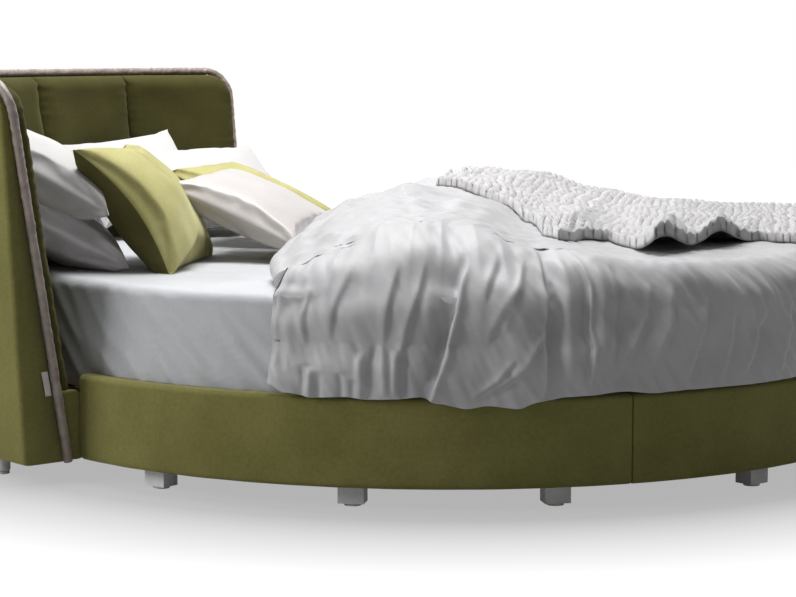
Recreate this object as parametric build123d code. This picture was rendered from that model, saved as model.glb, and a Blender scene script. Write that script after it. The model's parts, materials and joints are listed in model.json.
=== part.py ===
from build123d import *
from math import atan, cos, degrees, hypot, radians, sin, sqrt
import os

# A round upholstered bed: a padded ring of three panels, a curved padded headboard that wraps
# the head end, a slatted deck in two halves, a round mattress and its bedding.
# Millimetres, +Z up, +Y towards the head, origin on the floor under the middle of the deck.
# An angle is counted round the bed from the head, positive towards the left side (-X).

# Clearances and shared sizes
slack = 0.3              # free gap between pieces that only touch
overrun = 20.0           # how far a cutting tool runs past what it cuts
floor_gap = 50.0         # open gap between the floor and the upholstery
full_turn = 360.0
half_turn = 180.0

# Padded ring, called rails
rail_radius = 1200.0
rail_height = 210.0
rail_core_thickness = 24.0
rail_pad_front = 14.0
rail_pad_top = 8.0
rail_pad_bottom = 6.0
rail_return_thickness = 6.0
rail_return_top = 36.0
rail_return_bottom = 26.0
rail_end_wall = 3.0
rail_edge_round = 12.0
rail_end_round = 8.0
rail_joint_gap = 2.0
foot_seam_angle = 120.0  # seam between a side panel and the foot panel

# Headboard shell
head_half_angle = 50.85
head_height = 914.0
head_front_gap = 4.0     # between a wing's front and the end of a side panel
head_step = 38.0         # how far the headboard's seam stands outside the ring, at its bottom
head_flare = 150.0       # how much further out the seam is at the top
wing_width_low = 118.0
wing_width_high = 20.0
corner_radius = 75.0
shell_cover = 6.0
skin_thickness = 4.0
head_rail_height = 30.0
top_rail_height = 60.0
rib_thickness = 18.0
rib_spread_share = 0.885  # place of the outermost ribs, as a share of the half angle
rib_count = 7
rib_slot_width = 30.0
rib_slot_height = 220.0
rib_slot_lift = 60.0
apron_thickness = 3.0

# Headboard padding and piping
panel_count = 6
pad_thickness = 58.0
pad_seam_thickness = 34.0
pad_side_round = 60.0
pad_top_round_share = 0.85
pad_low_round_share = 0.4
pad_lift = 165.0         # height of the pads' lower edge above the shell's bottom
pad_joint_gap = 1.0
pad_top_drop = 4.0
piping_radius = 10.0
piping_blend_radius = 300.0
tab_length = 60.0
tab_width = 18.0
tab_thickness = 1.5
tab_lift = 165.0

# Slatted deck in two halves
deck_recess = 40.0       # depth of the mattress below the rails' top
deck_side_gap = 11.0     # between the deck and the rails' inside
deck_bar_width = 30.0
deck_bar_height = 45.0
deck_gap = 4.0
slat_thickness = 8.0
slat_width = 70.0
slat_camber = 8.0
slat_pitch = 120.0
slat_end_room = 120.0    # least distance from the last slat's middle to the deck's rim
cap_wall = 3.0
cap_length = 36.0
cap_slot_height = 10.4

# Ledgers, beam, legs and feet
ledger_height = 40.0
ledger_depth = 35.0
beam_width = 70.0
beam_height = 75.0
shoe_thickness = 3.0
shoe_length = 60.0
shoe_height = 60.0
leg_radius = 20.0
leg_plate_side = 64.0
leg_plate_thickness = 3.0
leg_pad_radius = 30.0
leg_pad_height = 12.0
leg_spacing = 600.0
foot_width = 60.0
foot_depth = 50.0
glide_radius = 20.0
glide_height = 6.0
rail_foot_shares = (0.086, 0.288, 0.473, 0.69, 0.9)  # from the headboard to the foot end
head_foot_shares = (0.295, 0.826)                    # from the middle to the wing's front
head_foot_radius = 22.0
head_foot_inset = 45.0
head_foot_chamfer = 3.0

# Steel plates and bolts
plate_thickness = 4.0
plate_height = 48.0
plate_half_width = 80.0
bolt_radius = 4.0
bolt_head_radius = 6.5
bolt_head_height = 4.5
bolt_length = 22.0
joint_bolt_length = 17.0
bolt_offset = 50.0
bolt_rise = 14.0
bracket_width = 40.0
bracket_leg = 50.0
bracket_shares = (-0.59, -0.197, 0.197, 0.59)        # from the middle to the wing's front

# Mattress and fitted sheet
mattress_side_gap = 8.0  # between the mattress and the rails' inside
mattress_height = 262.0
mattress_panel = 14.0
mattress_top_height = 32.0
mattress_border = 20.0
mattress_round = 22.0
sheet_thickness = 2.5
sheet_turn = 40.0        # how far the sheet turns in under the mattress

# Pillows and cushions: length, depth, height
near_pillow_size = (600.0, 380.0, 140.0)
far_pillow_size = (570.0, 380.0, 140.0)
green_size = (540.0, 410.0, 150.0)
far_green_size = (460.0, 430.0, 140.0)
grey_size = (460.0, 400.0, 130.0)
cushion_rim = 6.0
cushion_draw_share = 0.05
cushion_end_crown = 4.0

# How they lie: place across the bed, distance from the headboard's padding, lean and turn
near_lower_place = (-464.0, 220.0, 30.0, 24.0)
near_upper_place = (-470.0, 145.0, 50.0, 24.0)
far_lower_place = (600.0, 410.0, 22.0, -35.0)
far_upper_place = (480.0, 170.0, 42.0, -27.0)
near_green_place = (-395.0, 468.0, 51.0, 2.0)
far_green_place = (285.0, 590.0, 24.0, 0.0)
grey_place = (-175.0, 666.0, 24.0, 0.0)
drop_start = 400.0       # height that each is lowered from
touch = 0.5              # gap at which it has come to rest

# Duvet: for each fold of its hanging part the angle and how far it stands out
duvet_folds = (
    (79.3, 10.0),
    (83.0, 36.0),
    (90.0, 42.0),
    (95.0, 36.0),
    (97.5, 14.0),
    (100.0, 36.0),
    (106.0, 44.0),
    (110.0, 38.0),
    (112.0, 18.0),
    (114.0, 36.0),
    (115.5, 20.0),
    (118.0, 38.0),
    (121.0, 30.0),
    (128.0, 40.0),
    (136.0, 30.0),
    (146.0, 42.0),
    (157.0, 32.0),
    (168.5, 42.0),
    (180.0, 34.0),
)
duvet_widest_step = 11.5
duvet_belly = 8.0        # how much further a fold stands out near its hem
duvet_belly_height = 60.0
duvet_waist_drop = 145.0  # from the shoulder down to where a fold stands out least
duvet_shoulder_round = 34.0
duvet_edge_height = 60.0

# Duvet's top, section by section across the bed: share of the sheet's radius, distance of
# the duvet's edge from the headboard's padding, height of the crest above the sheet
duvet_ridge = (
    (-0.992, 965.0, 75.0),
    (-0.869, 945.0, 120.0),
    (-0.678, 918.0, 172.0),
    (-0.365, 894.0, 196.0),
    (0.0, 874.0, 178.0),
    (0.365, 862.0, 160.0),
    (0.678, 895.0, 140.0),
    (0.869, 940.0, 110.0),
    (0.992, 965.0, 75.0),
)
duvet_crest_share = 0.26
duvet_rise_share = 0.08
duvet_rise_height_share = 0.88
duvet_fall_share = 0.6
duvet_fall_height_share = 0.2
duvet_rim_overhang = 20.0

# Knitted throw: its thickness and, as shares of the sheet's radius, its four sides
throw_thickness = 34.0
throw_near_share = -0.487
throw_far_share = 0.782
throw_head_share = -0.3
throw_foot_share = -0.869
throw_corner = 70.0

# Radii and heights worked out from the sizes above
rail_top = floor_gap + rail_height
rail_core_inner = rail_radius - rail_pad_front - rail_core_thickness
rail_core_outer = rail_radius - rail_pad_front
rail_inner = rail_core_inner - rail_return_thickness
seam_radius_low = rail_radius + head_step
seam_radius_high = seam_radius_low + head_flare
back_radius_low = seam_radius_low + wing_width_low
back_radius_high = seam_radius_high + wing_width_high
head_face = seam_radius_low - pad_thickness
deck_radius = rail_inner - deck_side_gap
mattress_radius = rail_inner - mattress_side_gap
head_top = floor_gap + head_height
mattress_low = rail_top - deck_recess
deck_top = mattress_low - slack - slat_camber - slat_thickness - cap_wall - slack
deck_low = deck_top - deck_bar_height
ledger_top = deck_low - slack
ledger_low = ledger_top - ledger_height
ledger_outer = rail_core_inner - slack
ledger_inner = ledger_outer - ledger_depth
beam_top = deck_low - slack
beam_low = beam_top - beam_height
mattress_top = mattress_low + mattress_height
sheet_top = mattress_top + slack + sheet_thickness
sheet_radius = mattress_radius + slack + sheet_thickness
duvet_shoulder = sheet_top + slack + duvet_edge_height
duvet_waist = duvet_shoulder - duvet_waist_drop
pad_low = floor_gap + pad_lift
pad_top = head_top - pad_top_drop


def seam_radius(z):
    """Radius of the line where the padding meets the shell, at height z."""
    rise = (seam_radius_high - seam_radius_low) / head_height
    return seam_radius_low + rise * (z - floor_gap)


def back_radius(z):
    """Radius of the headboard's outer face at height z."""
    rise = (back_radius_high - back_radius_low) / head_height
    return back_radius_low + rise * (z - floor_gap)


def arc_degrees(length, radius):
    """Angle that a length takes up along a circle."""
    return degrees(length / radius)


def across(angle):
    """Unit vector that points outwards at an angle from the head."""
    return Vector(-sin(radians(angle)), cos(radians(angle)), 0)


def along(angle):
    """Unit vector along the circle, towards the head from the left side."""
    return Vector(cos(radians(angle)), sin(radians(angle)), 0)


def upright(angle):
    """Plane through the bed's axis: local x points outwards, local y points up."""
    return Plane(origin=(0, 0, 0), x_dir=across(angle), z_dir=along(angle))


def section(*points):
    """Face from (radius, height) points, in the plane of the head."""
    return upright(0) * make_face(Polyline(*points, close=True))


def bar_section(inner, outer, low, high):
    """Rectangular section between two radii and two heights."""
    return section((inner, low), (outer, low), (outer, high), (inner, high))


def bent(face, start, end):
    """A section carried round the bed from one angle to another."""
    return revolve(Rot(0, 0, start) * face, Axis.Z, end - start)


def wall_section(inner_line, inner_step, outer_line, outer_step, low, high):
    """Section between two sloping lines, each moved outwards by its step."""
    return section(
        (inner_line(low) + inner_step, low),
        (outer_line(low) + outer_step, low),
        (outer_line(high) + outer_step, high),
        (inner_line(high) + inner_step, high),
    )


def both_sides(shape):
    """A left-hand shape and its mirror image."""
    return [shape, mirror(shape, about=Plane.YZ)]


def save(shape, name):
    """Write one node, made of one solid or of several separate ones."""
    solids = []
    for item in shape if isinstance(shape, (list, tuple)) else [shape]:
        solids.extend(item.solids())
    node = solids[0] if len(solids) == 1 else Compound(children=solids)
    export_step(node, f"parts/{name}.step")
    return node


# Padded ring


def rail_core(start, end):
    """Bent plywood core of one panel, bored for the bolts of its joint plates."""
    low = floor_gap + rail_pad_bottom + slack
    high = rail_top - rail_pad_top - slack
    inset = arc_degrees(rail_end_wall + slack, rail_core_outer)
    core = bent(bar_section(rail_core_inner, rail_core_outer, low, high), start + inset, end - inset)
    for seam in (foot_seam_angle, full_turn - foot_seam_angle):
        core -= plate_holes(seam)
    return core


def rail_cover(start, end):
    """Foam and fabric sleeve of one panel, open on the inside between its two returns."""
    outline = bar_section(rail_inner, rail_radius, floor_gap, rail_top)
    outer_corners = outline.vertices().sort_by(Axis.Y)[-2:]
    sleeve = bent(fillet(outer_corners, rail_edge_round), start, end)
    ends = [edge for edge in sleeve.edges() if edge.geom_type == GeomType.LINE]
    ends = [edge for edge in ends if edge.length > rail_height - 3 * rail_edge_round]
    ends = [edge for edge in ends if hypot(edge.center().X, edge.center().Y) > rail_core_outer]
    sleeve = fillet(ends, rail_end_round)
    inset = arc_degrees(rail_end_wall, rail_core_outer)
    room = bar_section(
        rail_core_inner - slack,
        rail_core_outer + slack,
        floor_gap + rail_pad_bottom,
        rail_top - rail_pad_top,
    )
    window = bar_section(
        rail_inner - overrun,
        rail_core_inner,
        floor_gap + rail_return_bottom,
        rail_top - rail_return_top,
    )
    sleeve -= bent(room, start + inset, end - inset)
    sleeve -= bent(window, start - inset, end + inset)
    return sleeve


def ledger(start, end):
    """Curved batten screwed to the inside of a panel's core to carry the deck."""
    return bent(bar_section(ledger_inner, ledger_outer, ledger_low, ledger_top), start, end)


def rail_foot(angle):
    """Hidden block foot under a ledger, set well back from the upholstery."""
    middle = rail_inner - slack - foot_depth / 2
    half = arc_degrees(foot_width / 2, middle)
    low = glide_height + slack
    high = ledger_low - slack
    block = bar_section(middle - foot_depth / 2, middle + foot_depth / 2, low, high)
    return bent(block, angle - half, angle + half)


def glide(angle, radius):
    """Round floor glide at a foot."""
    place = across(angle) * radius
    return Pos(place.X, place.Y, glide_height / 2) * Cylinder(glide_radius, glide_height)


# Joint plates and bolts


def bolt_places():
    """Sideways and upward places of the four bolts on a plate."""
    return [(side * bolt_offset, up * bolt_rise) for side in (-1, 1) for up in (-1, 1)]


def plate_middle():
    """Height of the middle of a joint plate, between the ledger and the upper return."""
    return (ledger_top + rail_top - rail_return_top) / 2


def radial_cylinder(angle, sideways, height, start_radius, radius, length):
    """Cylinder that points outwards at an angle, moved sideways along the circle."""
    base = across(angle) * start_radius + along(angle) * sideways
    plane = Plane(origin=(base.X, base.Y, height), z_dir=across(angle))
    return extrude(plane * Circle(radius), length)


def plate_holes(angle):
    """Bores for the four bolts of the joint plate at an angle."""
    start = rail_core_inner - slack - plate_thickness - overrun
    depth = overrun + bolt_length
    bores = [
        radial_cylinder(angle, side, plate_middle() + up, start, bolt_radius + slack, depth)
        for side, up in bolt_places()
    ]
    return Compound(children=bores)


def joint_plate(angle):
    """Steel plate that joins two panels on the inside."""
    half = arc_degrees(plate_half_width, rail_core_inner)
    outer = rail_core_inner - slack
    low = plate_middle() - plate_height / 2
    blank = bar_section(outer - plate_thickness, outer, low, low + plate_height)
    return bent(blank, angle - half, angle + half) - plate_holes(angle)


def joint_bolts(angle):
    """Four bolts through a joint plate into the panels' cores."""
    face = rail_core_inner - slack - plate_thickness
    seat = sqrt(face**2 - (bolt_offset + bolt_head_radius) ** 2) - slack
    bolts = []
    for side, up in bolt_places():
        height = plate_middle() + up
        head_start = seat - bolt_head_height
        head = radial_cylinder(angle, side, height, head_start, bolt_head_radius, bolt_head_height)
        shank = radial_cylinder(angle, side, height, seat, bolt_radius, joint_bolt_length)
        bolts.append(head + shank)
    return bolts


def head_plate_bores(radius, low, length):
    """Upright cylinders at the bolts that tie a side ledger to the headboard's ledger."""
    middle = (ledger_inner + ledger_outer) / 2
    bores = []
    for side in (-1, 1):
        place = across(head_half_angle) * middle + along(head_half_angle) * side * bolt_offset
        bores.append(Pos(place.X, place.Y, low + length / 2) * Cylinder(radius, length))
    return bores


def head_joint_plate():
    """Flat steel plate under the joint between a side ledger and the headboard's ledger."""
    half = arc_degrees(plate_half_width, ledger_inner)
    high = ledger_low - slack
    blank = bar_section(ledger_inner, ledger_outer, high - plate_thickness, high)
    plate = bent(blank, head_half_angle - half, head_half_angle + half)
    bores = head_plate_bores(bolt_radius + slack, high - plate_thickness - overrun, 2 * overrun)
    return plate - Compound(children=bores)


def head_bolts():
    """Two bolts up through each head joint plate."""
    seat = ledger_low - slack - plate_thickness - slack
    heads = head_plate_bores(bolt_head_radius, seat - bolt_head_height, bolt_head_height)
    shanks = head_plate_bores(bolt_radius, seat, bolt_length)
    return [head + shank for head, shank in zip(heads, shanks)]


# Headboard


def corner_tool(end_angle, high, radius):
    """What is cut away at a wing's upper front corner to leave it round."""
    reach = back_radius_high + overrun
    plane = Plane(origin=across(end_angle) * reach, x_dir=along(end_angle), z_dir=-across(end_angle))
    side = radius + overrun
    block = Pos(radius - side / 2, high - radius + side / 2) * Rectangle(side, side)
    blank = block - Pos(radius, high - radius) * Circle(radius)
    return extrude(plane * blank, reach - ledger_inner)


def head_piece(profile, inset, high, rounded):
    """A sloping section carried round the headboard, with both upper corners rounded."""
    end_angle = head_half_angle - arc_degrees(inset, seam_radius_low)
    piece = bent(profile, -end_angle, end_angle)
    if rounded:
        for tool in both_sides(corner_tool(end_angle, high, corner_radius - inset)):
            piece -= tool
    return piece


def shell():
    """Upholstered tray that forms the headboard's back, wing fronts and top edge."""
    whole = wall_section(seam_radius, 0, back_radius, 0, floor_gap, head_top)
    low = floor_gap + shell_cover
    high = head_top - shell_cover
    hollow = wall_section(seam_radius, -overrun, back_radius, -shell_cover, low, high)
    return head_piece(whole, 0, head_top, True) - head_piece(hollow, shell_cover, high, True)


def skin(inner_line, step):
    """Thin bent plywood skin inside the shell; the step places its inner face."""
    low = floor_gap + shell_cover + slack
    high = head_top - shell_cover - slack
    profile = wall_section(inner_line, step, inner_line, step + skin_thickness, low, high)
    return head_piece(profile, shell_cover + slack, high, True)


def head_rail(low, high, rounded):
    """Curved plywood rail between the two skins."""
    inner_step = skin_thickness + slack
    outer_step = -(shell_cover + skin_thickness + 2 * slack)
    profile = wall_section(seam_radius, inner_step, back_radius, outer_step, low, high)
    return head_piece(profile, shell_cover + slack, high, rounded)


def rib(angle):
    """Upright plywood rib between the skins, with a slot that saves weight."""
    low = floor_gap + shell_cover + slack + head_rail_height + slack
    high = head_top - shell_cover - slack - top_rail_height - slack
    inner_step = skin_thickness + 2 * slack
    outer_step = -(shell_cover + skin_thickness + 3 * slack)
    outline = make_face(
        Polyline(
            (seam_radius(low) + inner_step, low),
            (back_radius(low) + outer_step, low),
            (back_radius(high) + outer_step, high),
            (seam_radius(high) + inner_step, high),
            close=True,
        )
    )
    slot_middle = low + rib_slot_lift + rib_slot_height / 2
    slot_radius = (seam_radius(slot_middle) + back_radius(slot_middle) + inner_step + outer_step) / 2
    slot = Pos(slot_radius, slot_middle) * Rot(0, 0, 90) * SlotOverall(rib_slot_height, rib_slot_width)
    return extrude(upright(angle) * (outline - slot), rib_thickness / 2, both=True)


def apron():
    """Thin cover on the headboard's inside, below the padding and behind the mattress."""
    low = floor_gap + shell_cover + slack
    high = pad_low - slack
    step = -(slack + apron_thickness)
    profile = wall_section(seam_radius, step, seam_radius, -slack, low, high)
    return head_piece(profile, shell_cover + slack, high, False)


def head_ledger():
    """Curved shelf across the head end: it carries the deck and ties into the headboard."""
    end_angle = head_half_angle - arc_degrees(head_front_gap / 2, ledger_outer)
    outer = seam_radius(ledger_low) - 2 * slack - apron_thickness
    shelf = bent(bar_section(ledger_inner, outer, ledger_low, ledger_top), -end_angle, end_angle)
    for bore in head_bore_pair():
        shelf -= bore
    return shelf


def head_bore_pair():
    """Blind bores for the head bolts, on both sides."""
    bores = head_plate_bores(bolt_radius + slack, ledger_low - overrun, bolt_length + overrun)
    return both_sides(Compound(children=bores))


def ledger_bracket(angle):
    """Folded steel bracket that holds the headboard's ledger to the shell's inner skin."""
    low = ledger_top + slack
    reach = seam_radius(low) - 2 * slack - apron_thickness
    rise = (seam_radius_high - seam_radius_low) / head_height
    lean = rise * bracket_leg
    outline = make_face(
        Polyline(
            (reach - bracket_leg, low),
            (reach, low),
            (reach + lean, low + bracket_leg),
            (reach + lean - plate_thickness, low + bracket_leg),
            (reach - plate_thickness, low + plate_thickness),
            (reach - bracket_leg, low + plate_thickness),
            close=True,
        )
    )
    return extrude(upright(angle) * outline, bracket_width / 2, both=True)


def head_foot(angle):
    """Short round foot under the headboard."""
    place = across(angle) * (back_radius_low - head_foot_inset)
    low = glide_height + slack
    height = floor_gap - slack - low
    foot = Pos(place.X, place.Y, low + height / 2) * Cylinder(head_foot_radius, height)
    return chamfer(foot.edges().group_by(Axis.Z)[0], head_foot_chamfer)


def pad_reach(distance):
    """Thickness of a pad at a distance from its nearest side seam: a quarter circle, then level."""
    share = min(distance / pad_side_round, 1.0)
    swell = sqrt(1 - (1 - share) ** 2)
    return pad_seam_thickness + (pad_thickness - pad_seam_thickness) * swell


def corner_drop(distance):
    """How far the rounded upper corner lies below the top, at a distance from the wing's front."""
    if distance >= corner_radius:
        return 0.0
    return corner_radius - sqrt(corner_radius**2 - (corner_radius - distance) ** 2)


def pad_section(angle, thickness, drop):
    """Closed outline of a pad in the upright plane at one angle."""
    high = pad_top - drop
    low = pad_low
    back_low = seam_radius(low) - slack
    back_high = seam_radius(high) - slack
    outline = make_face(
        Polyline(
            (back_low, low),
            (back_high, high),
            (back_high - thickness, high),
            (back_low - thickness, low),
            close=True,
        )
    )
    upper = outline.vertices().sort_by_distance((back_high - thickness, high))[0]
    outline = fillet(upper, thickness * pad_top_round_share)
    lower = outline.vertices().sort_by_distance((back_low - thickness, low))[0]
    return upright(angle) * fillet(lower, thickness * pad_low_round_share)


def pad(index):
    """One upholstered panel: rounded at its side seams and at the top, level between."""
    width = 2 * head_half_angle / panel_count
    gap = arc_degrees(pad_joint_gap / 2, seam_radius_low)
    start = -head_half_angle + index * width + gap
    end = start + width - 2 * gap
    arc = radians(end - start) * seam_radius_low
    steps = [0, pad_side_round / 8, pad_side_round / 2, pad_side_round]
    places = steps + [arc / 2] + [arc - step for step in reversed(steps)]
    sections = []
    for place in places:
        angle = start + arc_degrees(place, seam_radius_low)
        edge = min(place, arc - place)
        front = radians(head_half_angle - abs(angle)) * seam_radius_high
        sections.append(pad_section(angle, pad_reach(edge), corner_drop(front)))
    return loft(sections, ruled=True)


def piping_path():
    """Centre line of the piping: up one wing, over its corner, along the top and down again."""
    off = piping_radius + slack
    rise = (seam_radius_high - seam_radius_low) / head_height
    stretch = hypot(1, rise)
    turn = corner_radius + off
    high = head_top + off
    outward = across(head_half_angle)
    inward = along(head_half_angle)
    slope = (outward * rise + Vector(0, 0, 1)) * (1 / stretch)

    def point(radius, sideways, height):
        return outward * radius + inward * sideways + Vector(0, 0, height)

    top_radius = seam_radius(high)
    end = point(top_radius, corner_radius, high)
    centre = end - slope * turn
    corner_start = centre - inward * turn
    corner_middle = centre + (slope - inward) * (turn * sqrt(0.5))
    low = floor_gap
    start = corner_start - slope * ((corner_start.Z - low) * stretch)
    swing = degrees(atan(corner_radius / (top_radius - piping_blend_radius)))
    blend_centre = point(top_radius - piping_blend_radius, corner_radius, high)
    ring = hypot(top_radius - piping_blend_radius, corner_radius) + piping_blend_radius
    blend_middle = blend_centre + across(head_half_angle - swing / 2) * piping_blend_radius
    blend_end = across(head_half_angle - swing) * ring + Vector(0, 0, high)

    def other(v):
        return Vector(-v.X, v.Y, v.Z)

    return Wire(
        [
            Edge.make_line(start, corner_start),
            Edge.make_three_point_arc(corner_start, corner_middle, end),
            Edge.make_three_point_arc(end, blend_middle, blend_end),
            Edge.make_three_point_arc(blend_end, Vector(0, ring, high), other(blend_end)),
            Edge.make_three_point_arc(other(blend_end), other(blend_middle), other(end)),
            Edge.make_three_point_arc(other(end), other(corner_middle), other(corner_start)),
            Edge.make_line(other(corner_start), other(start)),
        ]
    )


def piping():
    """Fat round piping along the seam between the padding and the shell."""
    path = piping_path()
    start = path @ 0
    plane = Plane(origin=start, z_dir=path % 0)
    return sweep(plane * Circle(piping_radius), path=path)


def blank_tab():
    """Small bare fabric tab sewn beside the piping, low on the left wing's front."""
    low = floor_gap + tab_lift
    step = piping_radius + slack
    high = low + tab_length
    outline = Polyline(
        (seam_radius(low) + step, low),
        (seam_radius(low) + step + tab_width, low),
        (seam_radius(high) + step + tab_width, high),
        (seam_radius(high) + step, high),
        close=True,
    )
    shift = along(head_half_angle) * -slack
    plane = upright(head_half_angle).move(Location(shift))
    return extrude(plane * make_face(outline), -tab_thickness)


# Deck


def deck_frame():
    """Left half-moon frame of the deck: a bent rim closed by a straight bar."""
    inner = deck_radius - deck_bar_width
    start = deck_gap / 2
    half = Pos(-deck_radius - start, 0) * Rectangle(2 * deck_radius, 2 * deck_radius)
    outside = Circle(deck_radius) & half
    inside = Circle(inner) & (Pos(-deck_bar_width, 0) * half)
    return extrude(Pos(0, 0, deck_low) * (outside - inside), deck_bar_height)


def slat_places():
    """Places of the slats along the bed."""
    reach = int((deck_radius - slat_end_room) / slat_pitch)
    return [index * slat_pitch for index in range(-reach, reach + 1)]


def slat_ends(place):
    """Inner and outer end of the left slat at a place along the bed."""
    reach = abs(place) + slat_width / 2 + cap_wall
    outer = sqrt((deck_radius - slack) ** 2 - reach**2) - cap_wall
    return -(deck_gap / 2 + cap_wall + slack), -outer


def slat(place):
    """One sprung slat, bowed upwards between its caps."""
    inner, outer = slat_ends(place)
    low = deck_top + cap_wall + slack
    middle = (inner + outer) / 2
    crown = low + slat_camber
    underside = ThreePointArc((inner, low), (middle, crown), (outer, low))
    high = low + slat_thickness
    upper = ThreePointArc((outer, high), (middle, crown + slat_thickness), (inner, high))
    outline = Wire([underside, Line(underside @ 1, upper @ 0), upper, Line(upper @ 1, underside @ 0)])
    face = Plane(origin=(0, place, 0), x_dir=(1, 0, 0), z_dir=(0, -1, 0)) * make_face(outline)
    return extrude(face, slat_width / 2, both=True)


def slat_caps(place):
    """Two moulded caps that hold a slat's ends on the frame."""
    height = 2 * cap_wall + cap_slot_height
    caps = []
    for end, way in zip(slat_ends(place), (-1, 1)):
        start = end - way * (cap_wall + slack)
        block = Box(cap_length, slat_width + 2 * cap_wall, height)
        slot = Box(cap_length, slat_width + 2 * slack, cap_slot_height)
        shell_block = block - Pos(way * cap_wall, 0, 0) * slot
        caps.append(Pos(start + way * cap_length / 2, place, deck_top + height / 2) * shell_block)
    return caps


def shoe_reach():
    """Distance from the bed's middle to a beam shoe's back, clear of the curved ledger."""
    half = beam_width / 2 + shoe_thickness + slack
    return sqrt(ledger_inner**2 - half**2) - slack


def beam():
    """Middle beam under the joint between the deck's halves."""
    length = 2 * (shoe_reach() - shoe_thickness - slack)
    return Pos(0, 0, (beam_top + beam_low) / 2) * Box(beam_width, length, beam_height)


def beam_shoe():
    """Steel shoe that carries one end of the middle beam, at the head end."""
    wall = shoe_thickness
    width = beam_width + 2 * (wall + slack)
    outer = Box(width, shoe_length, shoe_height)
    room = Box(beam_width + 2 * slack, shoe_length, shoe_height)
    cup = outer - Pos(0, -wall, wall) * room
    middle = shoe_reach() - shoe_length / 2
    return Pos(0, middle, beam_low - wall - slack + shoe_height / 2) * cup


def leg(place):
    """Tube leg with a plate under the middle beam."""
    top = beam_low - slack
    low = leg_pad_height + slack
    height = top - low
    tube = Pos(0, place, low + height / 2) * Cylinder(leg_radius, height)
    plate_low = top - leg_plate_thickness / 2
    plate = Pos(0, place, plate_low) * Box(leg_plate_side, leg_plate_side, leg_plate_thickness)
    return tube + plate


def leg_pad(place):
    """Round foot of a middle leg."""
    disc = Pos(0, place, leg_pad_height / 2) * Cylinder(leg_pad_radius, leg_pad_height)
    return chamfer(disc.edges().group_by(Axis.Z)[-1], leg_pad_height / 4)


# Mattress


def mattress_pieces():
    """Bottom panel, spring core, side border and quilted top panel."""
    low = mattress_low
    core_low = low + mattress_panel + slack
    core_high = mattress_top - mattress_top_height - slack
    bottom = bar_section(0, mattress_radius, low, low + mattress_panel)
    core = bar_section(0, mattress_radius - mattress_border - slack, core_low, core_high)
    border = bar_section(mattress_radius - mattress_border, mattress_radius, core_low, core_high)
    top = bar_section(0, mattress_radius, mattress_top - mattress_top_height, mattress_top)
    rim = top.vertices().sort_by_distance((0, mattress_radius, mattress_top))[0]
    top = fillet(rim, mattress_round)
    return [revolve(face, Axis.Z) for face in (bottom, core, border, top)]


def fitted_sheet():
    """Fitted sheet over the mattress, rounded at the edge and turned in underneath."""
    low = mattress_low - slack - sheet_thickness
    outer = bar_section(0, sheet_radius, low, sheet_top)
    inner = bar_section(0, mattress_radius + slack, mattress_low - slack, mattress_top + slack)
    hem = bar_section(0, sheet_radius - sheet_turn, low - overrun, mattress_low)
    rim = outer.vertices().sort_by_distance((0, sheet_radius, sheet_top))[0]
    inner_rim = inner.vertices().sort_by_distance((0, sheet_radius, sheet_top))[0]
    outer = fillet(rim, mattress_round + sheet_thickness)
    inner = fillet(inner_rim, mattress_round)
    return revolve(outer - inner - hem, Axis.Z)


# Pillows and cushions


def cushion(size):
    """Crowned closed form whose long sides are drawn in between its corners."""
    length, depth, height = size
    shares = (-1.0, -0.8, -0.4, 0.0, 0.4, 0.8, 1.0)
    sections = []
    for share in shares:
        swell = sqrt(1 - share**2)
        half = depth / 2 * (1 - cushion_draw_share * swell)
        edge = cushion_rim / 2
        crown = edge + cushion_end_crown + (height / 2 - edge - cushion_end_crown) * swell
        upper = ThreePointArc((-half, edge), (0, crown), (half, edge))
        lower = ThreePointArc((half, -edge), (0, -crown), (-half, -edge))
        wire = Wire([upper, Line(upper @ 1, lower @ 0), lower, Line(lower @ 1, upper @ 0)])
        plane = Plane(origin=(share * length / 2, 0, 0), x_dir=(0, 1, 0), z_dir=(1, 0, 0))
        sections.append(plane * make_face(wire))
    return loft(sections)


def laid(size, place, below):
    """A cushion leaned and turned, then lowered until it rests on the pieces below."""
    middle_x, distance, lean, turn = place
    form = Rot(0, 0, turn) * Rot(lean, 0, 0) * cushion(size)
    height = sheet_top + drop_start
    while True:
        lowered = Pos(middle_x, head_face - distance, height) * form
        gap = min(lowered.distance_to(piece) for piece in below)
        if gap < touch:
            return lowered
        height -= gap - touch / 2


# Duvet and throw


def duvet_skirt():
    """Hanging part of the duvet round the mattress, with its lobes and narrow folds."""
    right = [(full_turn - angle, out) for angle, out in reversed(duvet_folds[:-1])]
    inner = (sheet_radius + slack) / cos(radians(duvet_widest_step / 2))
    low = rail_top + slack
    sections = []
    for angle, out in list(duvet_folds) + right:
        waist = inner + out
        belly = waist + duvet_belly
        outline = Polyline(
            (inner, low),
            (belly, low),
            (belly, low + duvet_belly_height),
            (waist, duvet_waist),
            (waist, duvet_shoulder - duvet_shoulder_round),
            (inner + out / 2, duvet_shoulder),
            (inner, duvet_shoulder),
            close=True,
        )
        sections.append(upright(angle) * make_face(outline))
    return loft(sections, ruled=True)


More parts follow.
